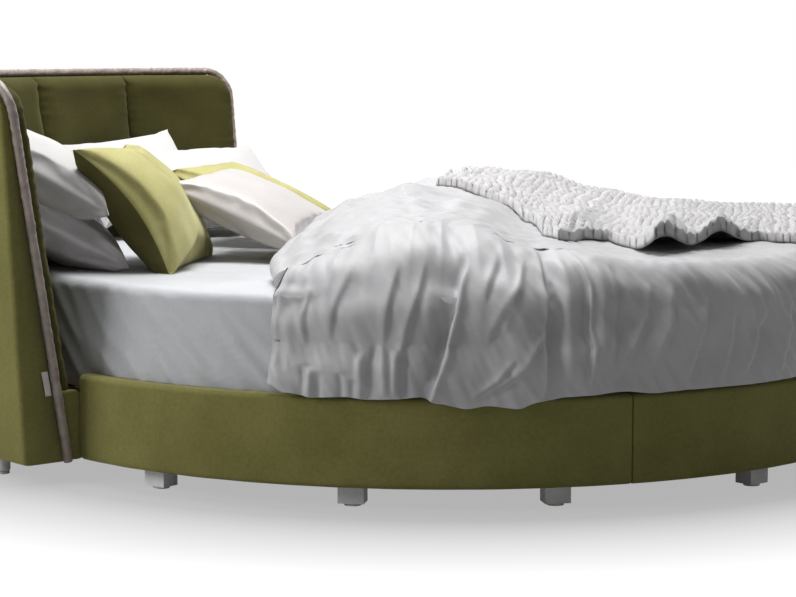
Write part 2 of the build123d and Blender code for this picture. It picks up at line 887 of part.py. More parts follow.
def duvet_top():
    """Rumpled top of the duvet: pushed up near its head edge, low towards the foot."""
    low = sheet_top + slack
    sections = []
    for share, distance, crest in duvet_ridge:
        x = share * sheet_radius
        edge = head_face - distance
        foot = -sqrt((sheet_radius + duvet_rim_overhang) ** 2 - x**2)
        span = edge - foot
        rim = low + duvet_edge_height
        head_bow = ThreePointArc(
            (edge, rim),
            (edge - span * duvet_rise_share, rim + (low + crest - rim) * duvet_rise_height_share),
            (edge - span * duvet_crest_share, low + crest),
        )
        foot_bow = ThreePointArc(
            head_bow @ 1,
            (edge - span * duvet_fall_share, rim + (low + crest - rim) * duvet_fall_height_share),
            (foot, rim),
        )
        wire = Wire(
            [
                head_bow,
                foot_bow,
                Line(foot_bow @ 1, (foot, low)),
                Line((foot, low), (edge, low)),
                Line((edge, low), head_bow @ 0),
            ]
        )
        plane = Plane(origin=(x, 0, 0), x_dir=(0, 1, 0), z_dir=(1, 0, 0))
        sections.append(plane * make_face(wire))
    return loft(sections)


def knit_throw(top, duvet):
    """Thick knitted throw laid over the duvet on the far side."""
    low = sheet_top + duvet_edge_height / 2
    near, far = throw_near_share * sheet_radius, throw_far_share * sheet_radius
    head, foot = throw_head_share * sheet_radius, throw_foot_share * sheet_radius
    outline = RectangleRounded(far - near, head - foot, throw_corner)
    blank = extrude(Pos((near + far) / 2, (head + foot) / 2, low) * outline, drop_start)
    body = (Pos(0, 0, throw_thickness) * top) & blank
    return body - Pos(0, 0, slack) * duvet


def main():
    os.makedirs("parts", exist_ok=True)
    side_start = head_half_angle + arc_degrees(head_front_gap, rail_radius)
    seam = arc_degrees(rail_joint_gap / 2, rail_radius)

    side_core = rail_core(side_start, foot_seam_angle - seam)
    side_cover = rail_cover(side_start, foot_seam_angle - seam)
    side_ledger = ledger(side_start, foot_seam_angle - seam) - head_bore_pair()[0]
    for side, core, cover, batten in zip(
        ("left", "right"), both_sides(side_core), both_sides(side_cover), both_sides(side_ledger)
    ):
        save(core, f"rail_core_{side}")
        save(cover, f"rail_cover_{side}")
        save(batten, f"ledger_{side}")
    foot_start = foot_seam_angle + seam
    save(rail_core(foot_start, full_turn - foot_start), "rail_core_foot")
    save(rail_cover(foot_start, full_turn - foot_start), "rail_cover_foot")
    save(ledger(foot_start, full_turn - foot_start), "ledger_foot")

    rail_span = half_turn - head_half_angle
    foot_angles = [head_half_angle + share * rail_span for share in rail_foot_shares]
    rail_feet = [side * angle for side in (1, -1) for angle in foot_angles]
    foot_middle = rail_inner - slack - foot_depth / 2
    save([rail_foot(angle) for angle in rail_feet], "rail_feet")
    save([glide(angle, foot_middle) for angle in rail_feet], "rail_glides")

    save(both_sides(joint_plate(foot_seam_angle)), "joint_plates")
    save([item for bolt in joint_bolts(foot_seam_angle) for item in both_sides(bolt)], "joint_bolts")
    save(both_sides(head_joint_plate()), "head_joint_plates")
    save([item for bolt in head_bolts() for item in both_sides(bolt)], "head_bolts")

    save(shell(), "headboard_shell")
    save(skin(seam_radius, 0), "headboard_inner_skin")
    save(skin(back_radius, -(shell_cover + slack + skin_thickness)), "headboard_outer_skin")
    rail_low = floor_gap + shell_cover + slack
    rail_high = head_top - shell_cover - slack
    save(head_rail(rail_low, rail_low + head_rail_height, False), "headboard_bottom_rail")
    save(head_rail(rail_high - top_rail_height, rail_high, True), "headboard_top_rail")
    spread = rib_spread_share * head_half_angle
    rib_angles = [spread * (2 * index / (rib_count - 1) - 1) for index in range(rib_count)]
    save([rib(angle) for angle in rib_angles], "headboard_ribs")
    save(apron(), "headboard_apron")
    save(head_ledger(), "ledger_head")
    save([ledger_bracket(share * head_half_angle) for share in bracket_shares], "ledger_brackets")
    head_feet = [side * share * head_half_angle for side in (-1, 1) for share in head_foot_shares]
    save([head_foot(angle) for angle in head_feet], "headboard_feet")
    save([glide(angle, back_radius_low - head_foot_inset) for angle in head_feet], "headboard_glides")
    pads = [save(pad(index), f"headboard_pad_{index + 1}") for index in range(panel_count)]
    save(piping(), "piping")
    save(blank_tab(), "blank_tab")

    slats = [slat(place) for place in slat_places()]
    caps = [cap for place in slat_places() for cap in slat_caps(place)]
    for side, way in (("left", 1), ("right", -1)):
        turn = Rot(0, 0, 0 if way == 1 else half_turn)
        save(turn * deck_frame(), f"deck_frame_{side}")
        save([turn * item for item in slats], f"slats_{side}")
        save([turn * item for item in caps], f"slat_caps_{side}")
    save(beam(), "middle_beam")
    save([beam_shoe(), Rot(0, 0, half_turn) * beam_shoe()], "beam_shoes")
    leg_places = (-leg_spacing, 0, leg_spacing)
    save([leg(place) for place in leg_places], "middle_legs")
    save([leg_pad(place) for place in leg_places], "middle_leg_pads")

    names = ("mattress_bottom_panel", "mattress_core", "mattress_border", "mattress_top_panel")
    for piece, name in zip(mattress_pieces(), names):
        save(piece, name)
    sheet = save(fitted_sheet(), "fitted_sheet")

    lower = laid(near_pillow_size, near_lower_place, [sheet])
    upper = laid(near_pillow_size, near_upper_place, [sheet, lower] + pads[4:])
    far_lower = laid(far_pillow_size, far_lower_place, [sheet])
    far_upper = laid(far_pillow_size, far_upper_place, [sheet, far_lower] + pads[:2])
    near_green = laid(green_size, near_green_place, [sheet, lower, upper])
    far_green = laid(far_green_size, far_green_place, [sheet, far_lower])
    grey = laid(grey_size, grey_place, [sheet, near_green, far_green])
    save(lower, "near_pillow_lower")
    save(upper, "near_pillow_upper")
    save(far_lower, "far_pillow_lower")
    save(far_upper, "far_pillow_upper")
    save(near_green, "near_green_cushion")
    save(far_green, "far_green_cushion")
    save(grey, "grey_cushion")

    top = duvet_top()
    duvet = top + duvet_skirt()
    save(duvet, "duvet")
    save(knit_throw(top, duvet), "knit_throw")


main()
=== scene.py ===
# %% [markdown]
# # A round upholstered bed
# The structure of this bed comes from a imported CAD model: a padded ring, a curved headboard,
# a slatted deck and a mattress. This lesson dresses it. Each upholstered or sewn piece is
# rebuilt as a surface worked out with numpy, gets a procedural finish, and takes the place of
# the plain CAD solid that carries its size. All lengths are metres, +Z is up, +Y points to the
# head of the bed, and an angle is counted from the head, positive towards the left side (-X).

# %% Load the frame
import json

import bpy
import numpy as np
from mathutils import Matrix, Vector


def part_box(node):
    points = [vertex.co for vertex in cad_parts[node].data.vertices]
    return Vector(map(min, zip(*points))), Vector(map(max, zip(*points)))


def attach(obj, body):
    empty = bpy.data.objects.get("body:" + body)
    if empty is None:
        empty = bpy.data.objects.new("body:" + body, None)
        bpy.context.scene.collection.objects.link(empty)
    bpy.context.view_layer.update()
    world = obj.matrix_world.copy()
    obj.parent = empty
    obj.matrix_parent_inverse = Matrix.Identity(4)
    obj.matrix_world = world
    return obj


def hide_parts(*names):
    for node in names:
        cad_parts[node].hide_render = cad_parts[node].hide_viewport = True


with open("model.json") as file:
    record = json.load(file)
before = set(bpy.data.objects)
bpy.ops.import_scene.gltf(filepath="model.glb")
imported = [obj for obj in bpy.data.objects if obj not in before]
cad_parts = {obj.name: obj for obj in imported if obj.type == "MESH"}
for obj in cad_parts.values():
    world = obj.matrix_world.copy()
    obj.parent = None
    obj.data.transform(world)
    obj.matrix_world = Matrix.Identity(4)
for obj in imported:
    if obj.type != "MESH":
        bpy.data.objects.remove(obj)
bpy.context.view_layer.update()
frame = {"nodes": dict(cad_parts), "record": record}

print("nodes in the frame:", len(frame["nodes"]))

# %% [markdown]
# ## Sizes
# The sizes that the soft pieces share are read from the frame, so that the dressed bed always
# fits its structure. Only what the frame can't tell, such as how thick a pad is, is written.

# %% Read the driving sizes from the frame
MM = 0.001
ring_low, ring_high = (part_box("rail_cover_foot")[i] for i in (0, 1))
FLOOR_GAP = ring_low.z
RAIL_TOP = ring_high.z
RAIL_RADIUS = -ring_low.y
HEAD_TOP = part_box("headboard_shell")[1].z
SHEET_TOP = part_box("fitted_sheet")[1].z
SHEET_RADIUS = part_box("fitted_sheet")[1].x
HEAD_HALF_ANGLE = 50.85
FOOT_SEAM_ANGLE = 120.0
FULL_TURN = 360.0
SEAM_LOW = RAIL_RADIUS + 38 * MM
SEAM_HIGH = SEAM_LOW + 150 * MM
BACK_LOW = SEAM_LOW + 118 * MM
BACK_HIGH = SEAM_HIGH + 20 * MM
CORNER_RADIUS = 75 * MM
SLACK = 0.3 * MM
print(f"ring radius {RAIL_RADIUS:.3f}, headboard top {HEAD_TOP:.3f}, sheet top {SHEET_TOP:.4f}")


def seam_radius(height):
    """Radius of the line between padding and shell: it grows evenly with height."""
    share = (height - FLOOR_GAP) / (HEAD_TOP - FLOOR_GAP)
    return SEAM_LOW + (SEAM_HIGH - SEAM_LOW) * share


def back_radius(height):
    """Radius of the headboard's outer face: it grows evenly with height."""
    share = (height - FLOOR_GAP) / (HEAD_TOP - FLOOR_GAP)
    return BACK_LOW + (BACK_HIGH - BACK_LOW) * share


# %% [markdown]
# ## Surfaces from arrays
# Every piece below is a grid of points. These helpers turn a grid into faces, round the corners
# of an outline, carry outlines round the bed, and add smooth noise. Working on whole arrays keeps
# each shape a formula that can be read, and makes dense meshes quick.

# %% Mesh helpers
def grid_quads(rows, columns, ring=False, start=0):
    """Four-cornered faces between neighbouring rows and columns; a ring joins the last column."""
    index = start + np.arange(rows * columns).reshape(rows, columns)
    if ring:
        index = np.hstack([index, index[:, :1]])
    corners = [index[:-1, :-1], index[:-1, 1:], index[1:, 1:], index[1:, :-1]]
    return np.stack(corners, -1).reshape(-1, 4)


def signed_volume(points, faces):
    """Sum over fan triangles of a x b . c / 6: positive where the faces point outwards."""
    total = 0.0
    for block in faces:
        first = points[block[:, 0]]
        for step in range(1, block.shape[1] - 1):
            second, third = points[block[:, step]], points[block[:, step + 1]]
            total += (np.cross(first, second) * third).sum() / 6
    return total


def add_mesh(name, points, faces, closed=True):
    """Object from an (n, 3) array and blocks of face rows, turned outwards if it is closed."""
    points = np.ascontiguousarray(points.reshape(-1, 3))
    if closed and signed_volume(points, faces) < 0:
        faces = [block[:, ::-1] for block in faces]
    mesh = bpy.data.meshes.new(name)
    corners = np.concatenate([block.ravel() for block in faces]).astype(np.int32)
    sizes = np.concatenate([np.full(len(block), block.shape[1]) for block in faces])
    starts = np.concatenate([[0], np.cumsum(sizes)[:-1]]).astype(np.int32)
    mesh.vertices.add(len(points))
    mesh.vertices.foreach_set("co", points.ravel())
    mesh.loops.add(len(corners))
    mesh.loops.foreach_set("vertex_index", corners)
    mesh.polygons.add(len(sizes))
    mesh.polygons.foreach_set("loop_start", starts)
    mesh.polygons.foreach_set("use_smooth", np.ones(len(sizes), bool))
    mesh.update(calc_edges=True)
    piece = bpy.data.objects.new(name, mesh)
    bpy.context.scene.collection.objects.link(piece)
    print(f"{name}: {len(points)} points, {len(sizes)} faces")
    return piece


def rounded_outline(corners, radii, steps=6):
    """Closed outlines, one for each row, with each corner cut to an arc. The arc's centre lies on
    the line that halves the corner, radius / sin(half angle) away from it."""
    before = np.roll(corners, 1, axis=1) - corners
    after = np.roll(corners, -1, axis=1) - corners
    before = before / np.linalg.norm(before, axis=-1, keepdims=True)
    after = after / np.linalg.norm(after, axis=-1, keepdims=True)
    share = np.linspace(0, 1, steps + 1)[None, :]
    pieces = []
    for place, radius in enumerate(radii):
        corner = corners[:, place]
        if np.isscalar(radius) and radius == 0:
            pieces.append(corner[:, None])
            continue
        radius = np.broadcast_to(radius, len(corner))
        a, b = before[:, place], after[:, place]
        half = np.arccos(np.clip((a * b).sum(-1), -1, 1)) / 2
        middle = (a + b) / np.linalg.norm(a + b, axis=-1, keepdims=True)
        centre = corner + middle * (radius / np.sin(half))[:, None]
        reach = (radius / np.tan(half))[:, None]
        start, end = corner + a * reach - centre, corner + b * reach - centre
        sweep = (np.pi - 2 * half)[:, None]
        first = np.sin((1 - share) * sweep)[..., None] * start[:, None]
        last = np.sin(share * sweep)[..., None] * end[:, None]
        pieces.append(centre[:, None] + (first + last) / np.sin(sweep)[..., None])
    return np.concatenate(pieces, axis=1)


def filled(outlines, gap):
    """The same closed outlines with points added on long edges, no further apart than the gap."""
    after = np.roll(outlines, -1, axis=1)
    lengths = np.linalg.norm(after - outlines, axis=-1).max(0)
    pieces = []
    for place, length in enumerate(lengths):
        share = np.arange(max(1, int(np.ceil(length / gap)))) / max(1, int(np.ceil(length / gap)))
        a, b = outlines[:, place, None], after[:, place, None]
        pieces.append(a + (b - a) * share[None, :, None])
    return np.concatenate(pieces, axis=1)


def outline_normals(outlines):
    """Unit normals of closed outlines, a quarter turn from the line between both neighbours."""
    line = np.roll(outlines, -1, axis=1) - np.roll(outlines, 1, axis=1)
    normal = np.stack([line[..., 1], -line[..., 0]], -1)
    return normal / np.maximum(np.linalg.norm(normal, axis=-1, keepdims=True), 1e-9)


def around(angles, outlines):
    """(radius, height) outlines stood up at their angles: x = -r sin(angle), y = r cos(angle)."""
    turn = np.radians(angles)[:, None]
    radius, height = outlines[..., 0], outlines[..., 1]
    return np.stack([-radius * np.sin(turn), radius * np.cos(turn), height], -1)


def swept(name, rings):
    """Closed piece from (rings, points, 3): side faces, and one face over each end ring."""
    count, size = rings.shape[:2]
    ends = np.stack([np.arange(size)[::-1], np.arange(size) + (count - 1) * size])
    return add_mesh(name, rings, [grid_quads(count, size, ring=True), ends])


def ripple(places, length, seed, waves=12):
    """Smooth noise near -1 to 1: sine waves in random directions, about one length long."""
    draw = np.random.default_rng(seed)
    ways = draw.normal(size=(waves, places.shape[-1]))
    ways /= np.linalg.norm(ways, axis=1, keepdims=True)
    pace = 2 * np.pi / length * draw.uniform(0.6, 1.7, waves)
    start = draw.uniform(0, 2 * np.pi, waves)
    return np.sin(places @ (ways * pace[:, None]).T + start).sum(-1) / np.sqrt(waves)


def end_places(length, radius, step, corner_steps=12):
    """Places along a piece: close together in both rounded ends, evenly spaced between."""
    turn = np.linspace(0, np.pi / 2, corner_steps)
    near = radius * (1 - np.cos(turn))
    middle = np.linspace(radius, length - radius, max(2, int((length - 2 * radius) / step)))[1:-1]
    return np.concatenate([near, middle, length - near[::-1]])


def end_inset(edge, radius):
    """How far a rounded end has drawn in at a distance from the end: a quarter circle."""
    left = np.clip(1 - edge / radius, 0, 1)
    return radius * (1 - np.sqrt(1 - left**2))


print("inset at a rounded end's very edge, for a radius of 1:", end_inset(0.0, 1.0))

# %% [markdown]
# ## Finishes
# Upholstery looks real when its colour is never flat and its surface is never quite smooth.
# Each finish is a Principled shader with two layers of noise for the colour and a bump for the
# thread. Velvet also needs sheen, the soft light that its pile throws back at its edges.

# %% Material helpers
def node_of(tree, kind, **inputs):
    """A shader node of a kind with some of its sockets or properties set."""
    node = tree.nodes.new(kind)
    for key, value in inputs.items():
        if key in node.inputs:
            node.inputs[key].default_value = value
        else:
            setattr(node, key, value)
    return node


def noise_of(tree, coordinates, scale, detail=3.0, roughness=0.55, stretch=(1, 1, 1)):
    """Noise on object coordinates, stretched by a mapping node."""
    mapping = node_of(tree, "ShaderNodeMapping", Scale=stretch)
    noise = node_of(tree, "ShaderNodeTexNoise", Scale=scale, Detail=detail, Roughness=roughness)
    tree.links.new(coordinates, mapping.inputs["Vector"])
    tree.links.new(mapping.outputs["Vector"], noise.inputs["Vector"])
    return noise.outputs["Fac"]


def ramp_of(tree, value, low, high, dark, light):
    """Colour between two tones as a value goes from low to high."""
    ramp = tree.nodes.new("ShaderNodeValToRGB")
    ramp.color_ramp.elements[0].position = low
    ramp.color_ramp.elements[1].position = high
    ramp.color_ramp.elements[0].color = (*dark, 1)
    ramp.color_ramp.elements[1].color = (*light, 1)
    tree.links.new(value, ramp.inputs["Fac"])
    return ramp.outputs["Color"]


def mix_of(tree, share, first, second, blend="MULTIPLY"):
    """Mix of two colours by a fixed share."""
    mix = node_of(tree, "ShaderNodeMix", data_type="RGBA", blend_type=blend)
    mix.inputs[0].default_value = share
    tree.links.new(first, mix.inputs[6])
    tree.links.new(second, mix.inputs[7])
    return mix.outputs[2]


def new_finish(name, roughness, **sockets):
    """An empty finish: its tree, shader and object coordinates."""
    finish = bpy.data.materials.new(name)
    finish.use_nodes = True
    tree = finish.node_tree
    shader = tree.nodes["Principled BSDF"]
    shader.inputs["Roughness"].default_value = roughness
    for key, value in sockets.items():
        shader.inputs[key.replace("_", " ")].default_value = value
    place = tree.nodes.new("ShaderNodeTexCoord")
    return finish, tree, shader, place.outputs["Object"]


def bump_of(tree, shader, height, strength, distance):
    """A bump from a height, in metres of real relief."""
    bump = node_of(tree, "ShaderNodeBump", Strength=strength, Distance=distance)
    tree.links.new(height, bump.inputs["Height"])
    tree.links.new(bump.outputs["Normal"], shader.inputs["Normal"])


def cloth(name, dark, light, roughness, mottle=9.0, thread=900.0, relief=0.00035, grain=0.08, **sockets):
    """Woven cloth: broad soft tone, finer cloudy tone, and a thread bump."""
    finish, tree, shader, place = new_finish(name, roughness, **sockets)
    broad = ramp_of(tree, noise_of(tree, place, mottle), 0.3, 0.72, dark, light)
    low = (1 - grain,) * 3
    fine = ramp_of(tree, noise_of(tree, place, mottle * 22, 4.0), 0.35, 0.65, low, (1, 1, 1))
    tree.links.new(mix_of(tree, 1.0, broad, fine), shader.inputs["Base Color"])
    warp = noise_of(tree, place, thread, 2.0, 0.6, stretch=(1, 1, 0.45))
    bump_of(tree, shader, warp, 0.5, relief)
    return finish


def wood(name, dark, light, roughness, rings=14.0):
    """Timber or veneer: bands that wander, with fine pores along the grain."""
    finish, tree, shader, place = new_finish(name, roughness)
    wave = node_of(tree, "ShaderNodeTexWave", Scale=rings, Distortion=6.0, Detail=3.0)
    mapping = node_of(tree, "ShaderNodeMapping", Scale=(1, 0.25, 3))
    tree.links.new(place, mapping.inputs["Vector"])
    tree.links.new(mapping.outputs["Vector"], wave.inputs["Vector"])
    band = ramp_of(tree, wave.outputs["Fac"], 0.2, 0.8, dark, light)
    pores = noise_of(tree, place, 160, 4.0, 0.6, stretch=(1, 0.15, 1))
    fleck = ramp_of(tree, pores, 0.35, 0.6, (0.8, 0.78, 0.74), (1, 1, 1))
    tree.links.new(mix_of(tree, 1.0, band, fleck), shader.inputs["Base Color"])
    bump_of(tree, shader, pores, 0.25, 0.0003)
    return finish


def metal(name, colour, roughness, metallic):
    """Plated or powder-coated steel: slight cloudiness in tone and a fine skin."""
    finish, tree, shader, place = new_finish(name, roughness, Metallic=metallic)
    dark = tuple(0.82 * part for part in colour)
    tone = ramp_of(tree, noise_of(tree, place, 25), 0.3, 0.7, dark, colour)
    tree.links.new(tone, shader.inputs["Base Color"])
    bump_of(tree, shader, noise_of(tree, place, 700), 0.2, 0.0002)
    return finish


print("cloth, wood and metal helpers are ready")


# %% [markdown]
# Two velvets dress the bed: one for its outside, and a darker copy of it for the pads, which
# paints the shade that they lie in. The cushions, sheet, duvet and throw each have their own
# cloth, and the green cushions' backs a dark olive velvet that paints the shade on them.

# %% The bed's finishes
VELVET = cloth(
    "olive_velvet", (0.155, 0.145, 0.042), (0.215, 0.202, 0.066), 0.85, mottle=5.0, thread=1300,
    relief=0.0004, grain=0.14, Sheen_Weight=0.35, Sheen_Roughness=0.45,
    Sheen_Tint=(0.80, 0.78, 0.40, 1), Specular_IOR_Level=0.15,
)
GREEN_VELVET = cloth(
    "light_green_velvet", (0.38, 0.355, 0.13), (0.50, 0.465, 0.20), 0.75, mottle=7.0, thread=1300,
    relief=0.0004, grain=0.10, Sheen_Weight=0.5, Sheen_Roughness=0.35,
    Sheen_Tint=(0.95, 0.93, 0.62, 1), Specular_IOR_Level=0.2,
)
# Painted shade for the green cushions' back faces: a dark olive velvet in place of their lit green.
CUSHION_BACK_PAINTED_SHADE = cloth(
    "cushion_back_velvet_painted_shade", (0.115, 0.105, 0.032), (0.160, 0.146, 0.050), 0.85, mottle=6.0, thread=1300,
    relief=0.0004, grain=0.14, Sheen_Weight=0.2, Sheen_Roughness=0.45,
    Sheen_Tint=(0.80, 0.78, 0.40, 1), Specular_IOR_Level=0.12,
)
# Painted shade: the bed's velvet made darker and given less sheen, for the pads inside the headboard.
PAD_VELVET_PAINTED_SHADE = cloth(
    "pad_velvet_painted_shade", (0.045, 0.041, 0.010), (0.064, 0.059, 0.017), 0.9, mottle=5.0, thread=1300,
    relief=0.0004, grain=0.14, Sheen_Weight=0.10, Sheen_Roughness=0.45,
    Sheen_Tint=(0.80, 0.78, 0.40, 1), Specular_IOR_Level=0.12,
)
PIPING = cloth(
    "taupe_satin", (0.19, 0.148, 0.124), (0.33, 0.27, 0.24), 0.38, mottle=30.0, thread=1500,
    relief=0.0003, grain=0.12, Sheen_Weight=0.2, Specular_IOR_Level=0.5,
)
SHEET = cloth(
    "sheet_cotton", (0.47, 0.48, 0.50), (0.53, 0.54, 0.56), 0.62, mottle=4.0, thread=1600,
    relief=0.00025, grain=0.04, Sheen_Weight=0.15, Specular_IOR_Level=0.3,
)
WHITE = cloth(
    "white_cotton", (0.53, 0.52, 0.515), (0.58, 0.57, 0.565), 0.7, mottle=5.0, thread=1500,
    relief=0.0003, grain=0.03, Sheen_Weight=0.15, Specular_IOR_Level=0.25,
)
GREY_SATIN = cloth(
    "grey_satin", (0.56, 0.53, 0.545), (0.68, 0.65, 0.665), 0.36, mottle=6.0, thread=1700,
    relief=0.0002, grain=0.04, Sheen_Weight=0.25, Specular_IOR_Level=0.5,
)
PALE_SATIN = cloth(
    "pale_satin", (0.47, 0.44, 0.425), (0.54, 0.51, 0.495), 0.4, mottle=6.0, thread=1700,
    relief=0.0002, grain=0.04, Sheen_Weight=0.25, Specular_IOR_Level=0.5,
)
DUVET = cloth(
    "duvet_cotton", (0.385, 0.38, 0.39), (0.45, 0.445, 0.455), 0.5, mottle=3.5, thread=1500,
    relief=0.0003, grain=0.04, Sheen_Weight=0.2, Specular_IOR_Level=0.35,
)
WOOL = cloth(
    "grey_wool", (0.44, 0.43, 0.43), (0.64, 0.63, 0.63), 0.9, mottle=40.0, thread=500,
    relief=0.0012, grain=0.25, Sheen_Weight=0.4, Sheen_Roughness=0.5, Specular_IOR_Level=0.1,
)
# Painted shade in the knit: the wool is darkened where the stitches' depth says it lies low, in the grooves
# between strands.
wool_tree = WOOL.node_tree
wool_groove_shade = node_of(wool_tree, "ShaderNodeAttribute", attribute_name="wool_groove_shade")
wool_shader = wool_tree.nodes["Principled BSDF"]
wool_tone = wool_shader.inputs["Base Color"].links[0].from_socket
shade = ramp_of(wool_tree, wool_groove_shade.outputs["Fac"], 0.34, 0.80, (0.10, 0.10, 0.105), (1, 1, 1))
wool_tree.links.new(mix_of(wool_tree, 1.0, wool_tone, shade), wool_shader.inputs["Base Color"])
TICKING = cloth(
    "ticking", (0.66, 0.65, 0.62), (0.74, 0.73, 0.70), 0.8, mottle=12.0, thread=900, grain=0.06,
)
TAB = cloth("tab_tape", (0.68, 0.60, 0.585), (0.78, 0.70, 0.685), 0.6, mottle=60.0, thread=1500, grain=0.08)
PLYWOOD = wood("plywood", (0.46, 0.31, 0.17), (0.62, 0.45, 0.28), 0.6, 9.0)
BEECH = wood("beech", (0.60, 0.41, 0.25), (0.74, 0.55, 0.36), 0.45, 18.0)
STEEL = metal("zinc_steel", (0.55, 0.55, 0.56), 0.35, 1.0)
BLACK_STEEL = metal("black_steel", (0.025, 0.025, 0.027), 0.5, 0.3)
PALE_PAINT = metal("pale_paint", (0.86, 0.86, 0.86), 0.6, 0.0)
PLASTIC = metal("black_plastic", (0.03, 0.03, 0.032), 0.45, 0.0)
print("finishes:", len(bpy.data.materials))

FINISHES = {
    "velvet": VELVET, "green_velvet": GREEN_VELVET, "piping_satin": PIPING, "sheet_cotton": SHEET,
    "white_cotton": WHITE, "grey_satin": GREY_SATIN, "pale_satin": PALE_SATIN,
    "duvet_cotton": DUVET, "knit_wool": WOOL, "ticking": TICKING, "plywood": PLYWOOD,
    "beech": BEECH, "steel": STEEL, "black_steel": BLACK_STEEL, "black_plastic": PLASTIC,
}


def dress(piece, node, slot, finish=None):
    """Give a finished piece its finish, its place in the model and its material slot."""
    piece.data.materials.append(finish or FINISHES[slot])
    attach(piece, "root")
    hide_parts(node)
    return piece


# %% [markdown]
# ## The hidden structure
# Frames, slats, ledgers, plates and legs already have their true shape in CAD. They keep their
# meshes, and only their material slots are filled, by the slot that the record names; the feet
# and glides under ring and headboard get a pale paint instead.

# %% Finish the CAD nodes that stay
GROUND_PIECES = ("rail_feet", "rail_glides", "headboard_feet", "headboard_glides")
for row in frame["record"]["subparts"]:
    mesh = frame["nodes"][row["node"]].data
    mesh.materials.clear()
    mesh.materials.append(PALE_PAINT if row["node"] in GROUND_PIECES else FINISHES[row["material_slot"]])

# %% [markdown]
# ## The padded ring
# The ring is three sleeves of foam and velvet pulled over bent plywood. Its outline is a C: a
# rounded face outside, and two short returns inside that grip the core. The outline is carried
# round by angle, its outer face breathes a little with noise, and at each end the C closes.

# %% Ring sleeves
RAIL_PARTS = {"core": 24 * MM, "front": 14 * MM, "top": 8 * MM, "bottom": 6 * MM, "back": 6 * MM}
RETURN_TOP, RETURN_BOTTOM, END_WALL = 36 * MM, 26 * MM, 3 * MM
RAIL_EDGE_ROUND, RAIL_END_ROUND = 13 * MM, 4 * MM
HEAD_FRONT_GAP, RAIL_JOINT_GAP = 4 * MM, 2 * MM


def ring_sleeve(name, start, end, seed):
    """Ring outline at each angle; noise moves its outer points along the radius by up to 1 mm."""
    length = np.radians(end - start) * RAIL_RADIUS
    place = end_places(length, RAIL_END_ROUND, 9 * MM)
    place = np.sort(np.concatenate([place, [END_WALL, END_WALL, length - END_WALL, length - END_WALL]]))
    angle = start + np.degrees(place / RAIL_RADIUS)
    inset = end_inset(np.minimum(place, length - place), RAIL_END_ROUND)
    core_out = RAIL_RADIUS - RAIL_PARTS["front"] + SLACK
    core_in = core_out - RAIL_PARTS["core"] - 2 * SLACK
    inner = core_in - RAIL_PARTS["back"] + SLACK
    low, high = FLOOR_GAP + inset, RAIL_TOP - inset
    flat = np.zeros_like(inset)
    face = np.stack([
        np.stack([flat + inner, low], -1), np.stack([RAIL_RADIUS - inset, low], -1),
        np.stack([RAIL_RADIUS - inset, high], -1), np.stack([flat + inner, high], -1),
    ], 1)
    face = rounded_outline(face, (0, RAIL_EDGE_ROUND, RAIL_EDGE_ROUND, 0))
    share = np.linspace(0, 1, 26)[1:-1, None]
    stretch = face[:, 7, None] + (face[:, 8, None] - face[:, 7, None]) * share[None]
    face = np.concatenate([face[:, :8], stretch, face[:, 8:]], axis=1)
    arc = np.radians(angle)[:, None] * RAIL_RADIUS
    spot = np.stack(np.broadcast_arrays(arc, face[..., 1]), -1)
    outside = np.clip((face[..., 0] - inner) / (RAIL_RADIUS - inner), 0, 1)
    face[..., 0] += outside * 0.7 * MM * (ripple(spot, 0.16, seed) - 0.6)
    window_top, window_low = RAIL_TOP - RETURN_TOP, FLOOR_GAP + RETURN_BOTTOM
    room_top, room_low = RAIL_TOP - RAIL_PARTS["top"], FLOOR_GAP + RAIL_PARTS["bottom"]
    notch = np.array([
        (inner, window_top), (core_in, window_top), (core_in, room_top), (core_out, room_top),
        (core_out, room_low), (core_in, room_low), (core_in, window_low), (inner, window_low),
    ])
    shut = np.stack([np.full(8, inner), np.linspace(window_top, window_low, 8)], -1)
    walls = np.flatnonzero(np.isclose(place, END_WALL) | np.isclose(place, length - END_WALL))
    middle = np.arange(len(place))
    is_open = (middle >= walls[1]) & (middle <= walls[-2])
    inside = np.where(is_open[:, None, None], notch[None], shut[None])
    return swept(name, around(angle, np.concatenate([face, inside], axis=1)))


side_start = HEAD_HALF_ANGLE + np.degrees(HEAD_FRONT_GAP / RAIL_RADIUS)
seam_half = np.degrees(RAIL_JOINT_GAP / 2 / RAIL_RADIUS)
RING_SPANS = {
    "rail_cover_left": (side_start, FOOT_SEAM_ANGLE - seam_half),
    "rail_cover_foot": (FOOT_SEAM_ANGLE + seam_half, FULL_TURN - FOOT_SEAM_ANGLE - seam_half),
    "rail_cover_right": (FULL_TURN - FOOT_SEAM_ANGLE + seam_half, FULL_TURN - side_start),
}
for seed, (node, (start, end)) in enumerate(RING_SPANS.items()):
    dress(ring_sleeve(f"{node}_velvet", start, end, seed), node, "velvet")

# %% [markdown]
# ## The headboard's shell
# The shell is an upholstered tray: a tall outer face, a top edge and two wing fronts that taper
# upwards, all under one layer of velvet. Like the ring it is an outline carried round by angle.
# Near a wing's front the outline's top follows a quarter circle, which makes the round corner.

# %% Shell
SHELL_COVER = 6 * MM
SHELL_EDGE_ROUND, SEAM_ROUND = 11 * MM, 2 * MM
SHELL_TOP_SHARE = 0.42


def corner_drop(edge):
    """How far the rounded corner lies below the top at a distance from the wing's front."""
    left = np.clip(CORNER_RADIUS - edge, 0, CORNER_RADIUS)
    return CORNER_RADIUS - np.sqrt(CORNER_RADIUS**2 - left**2)


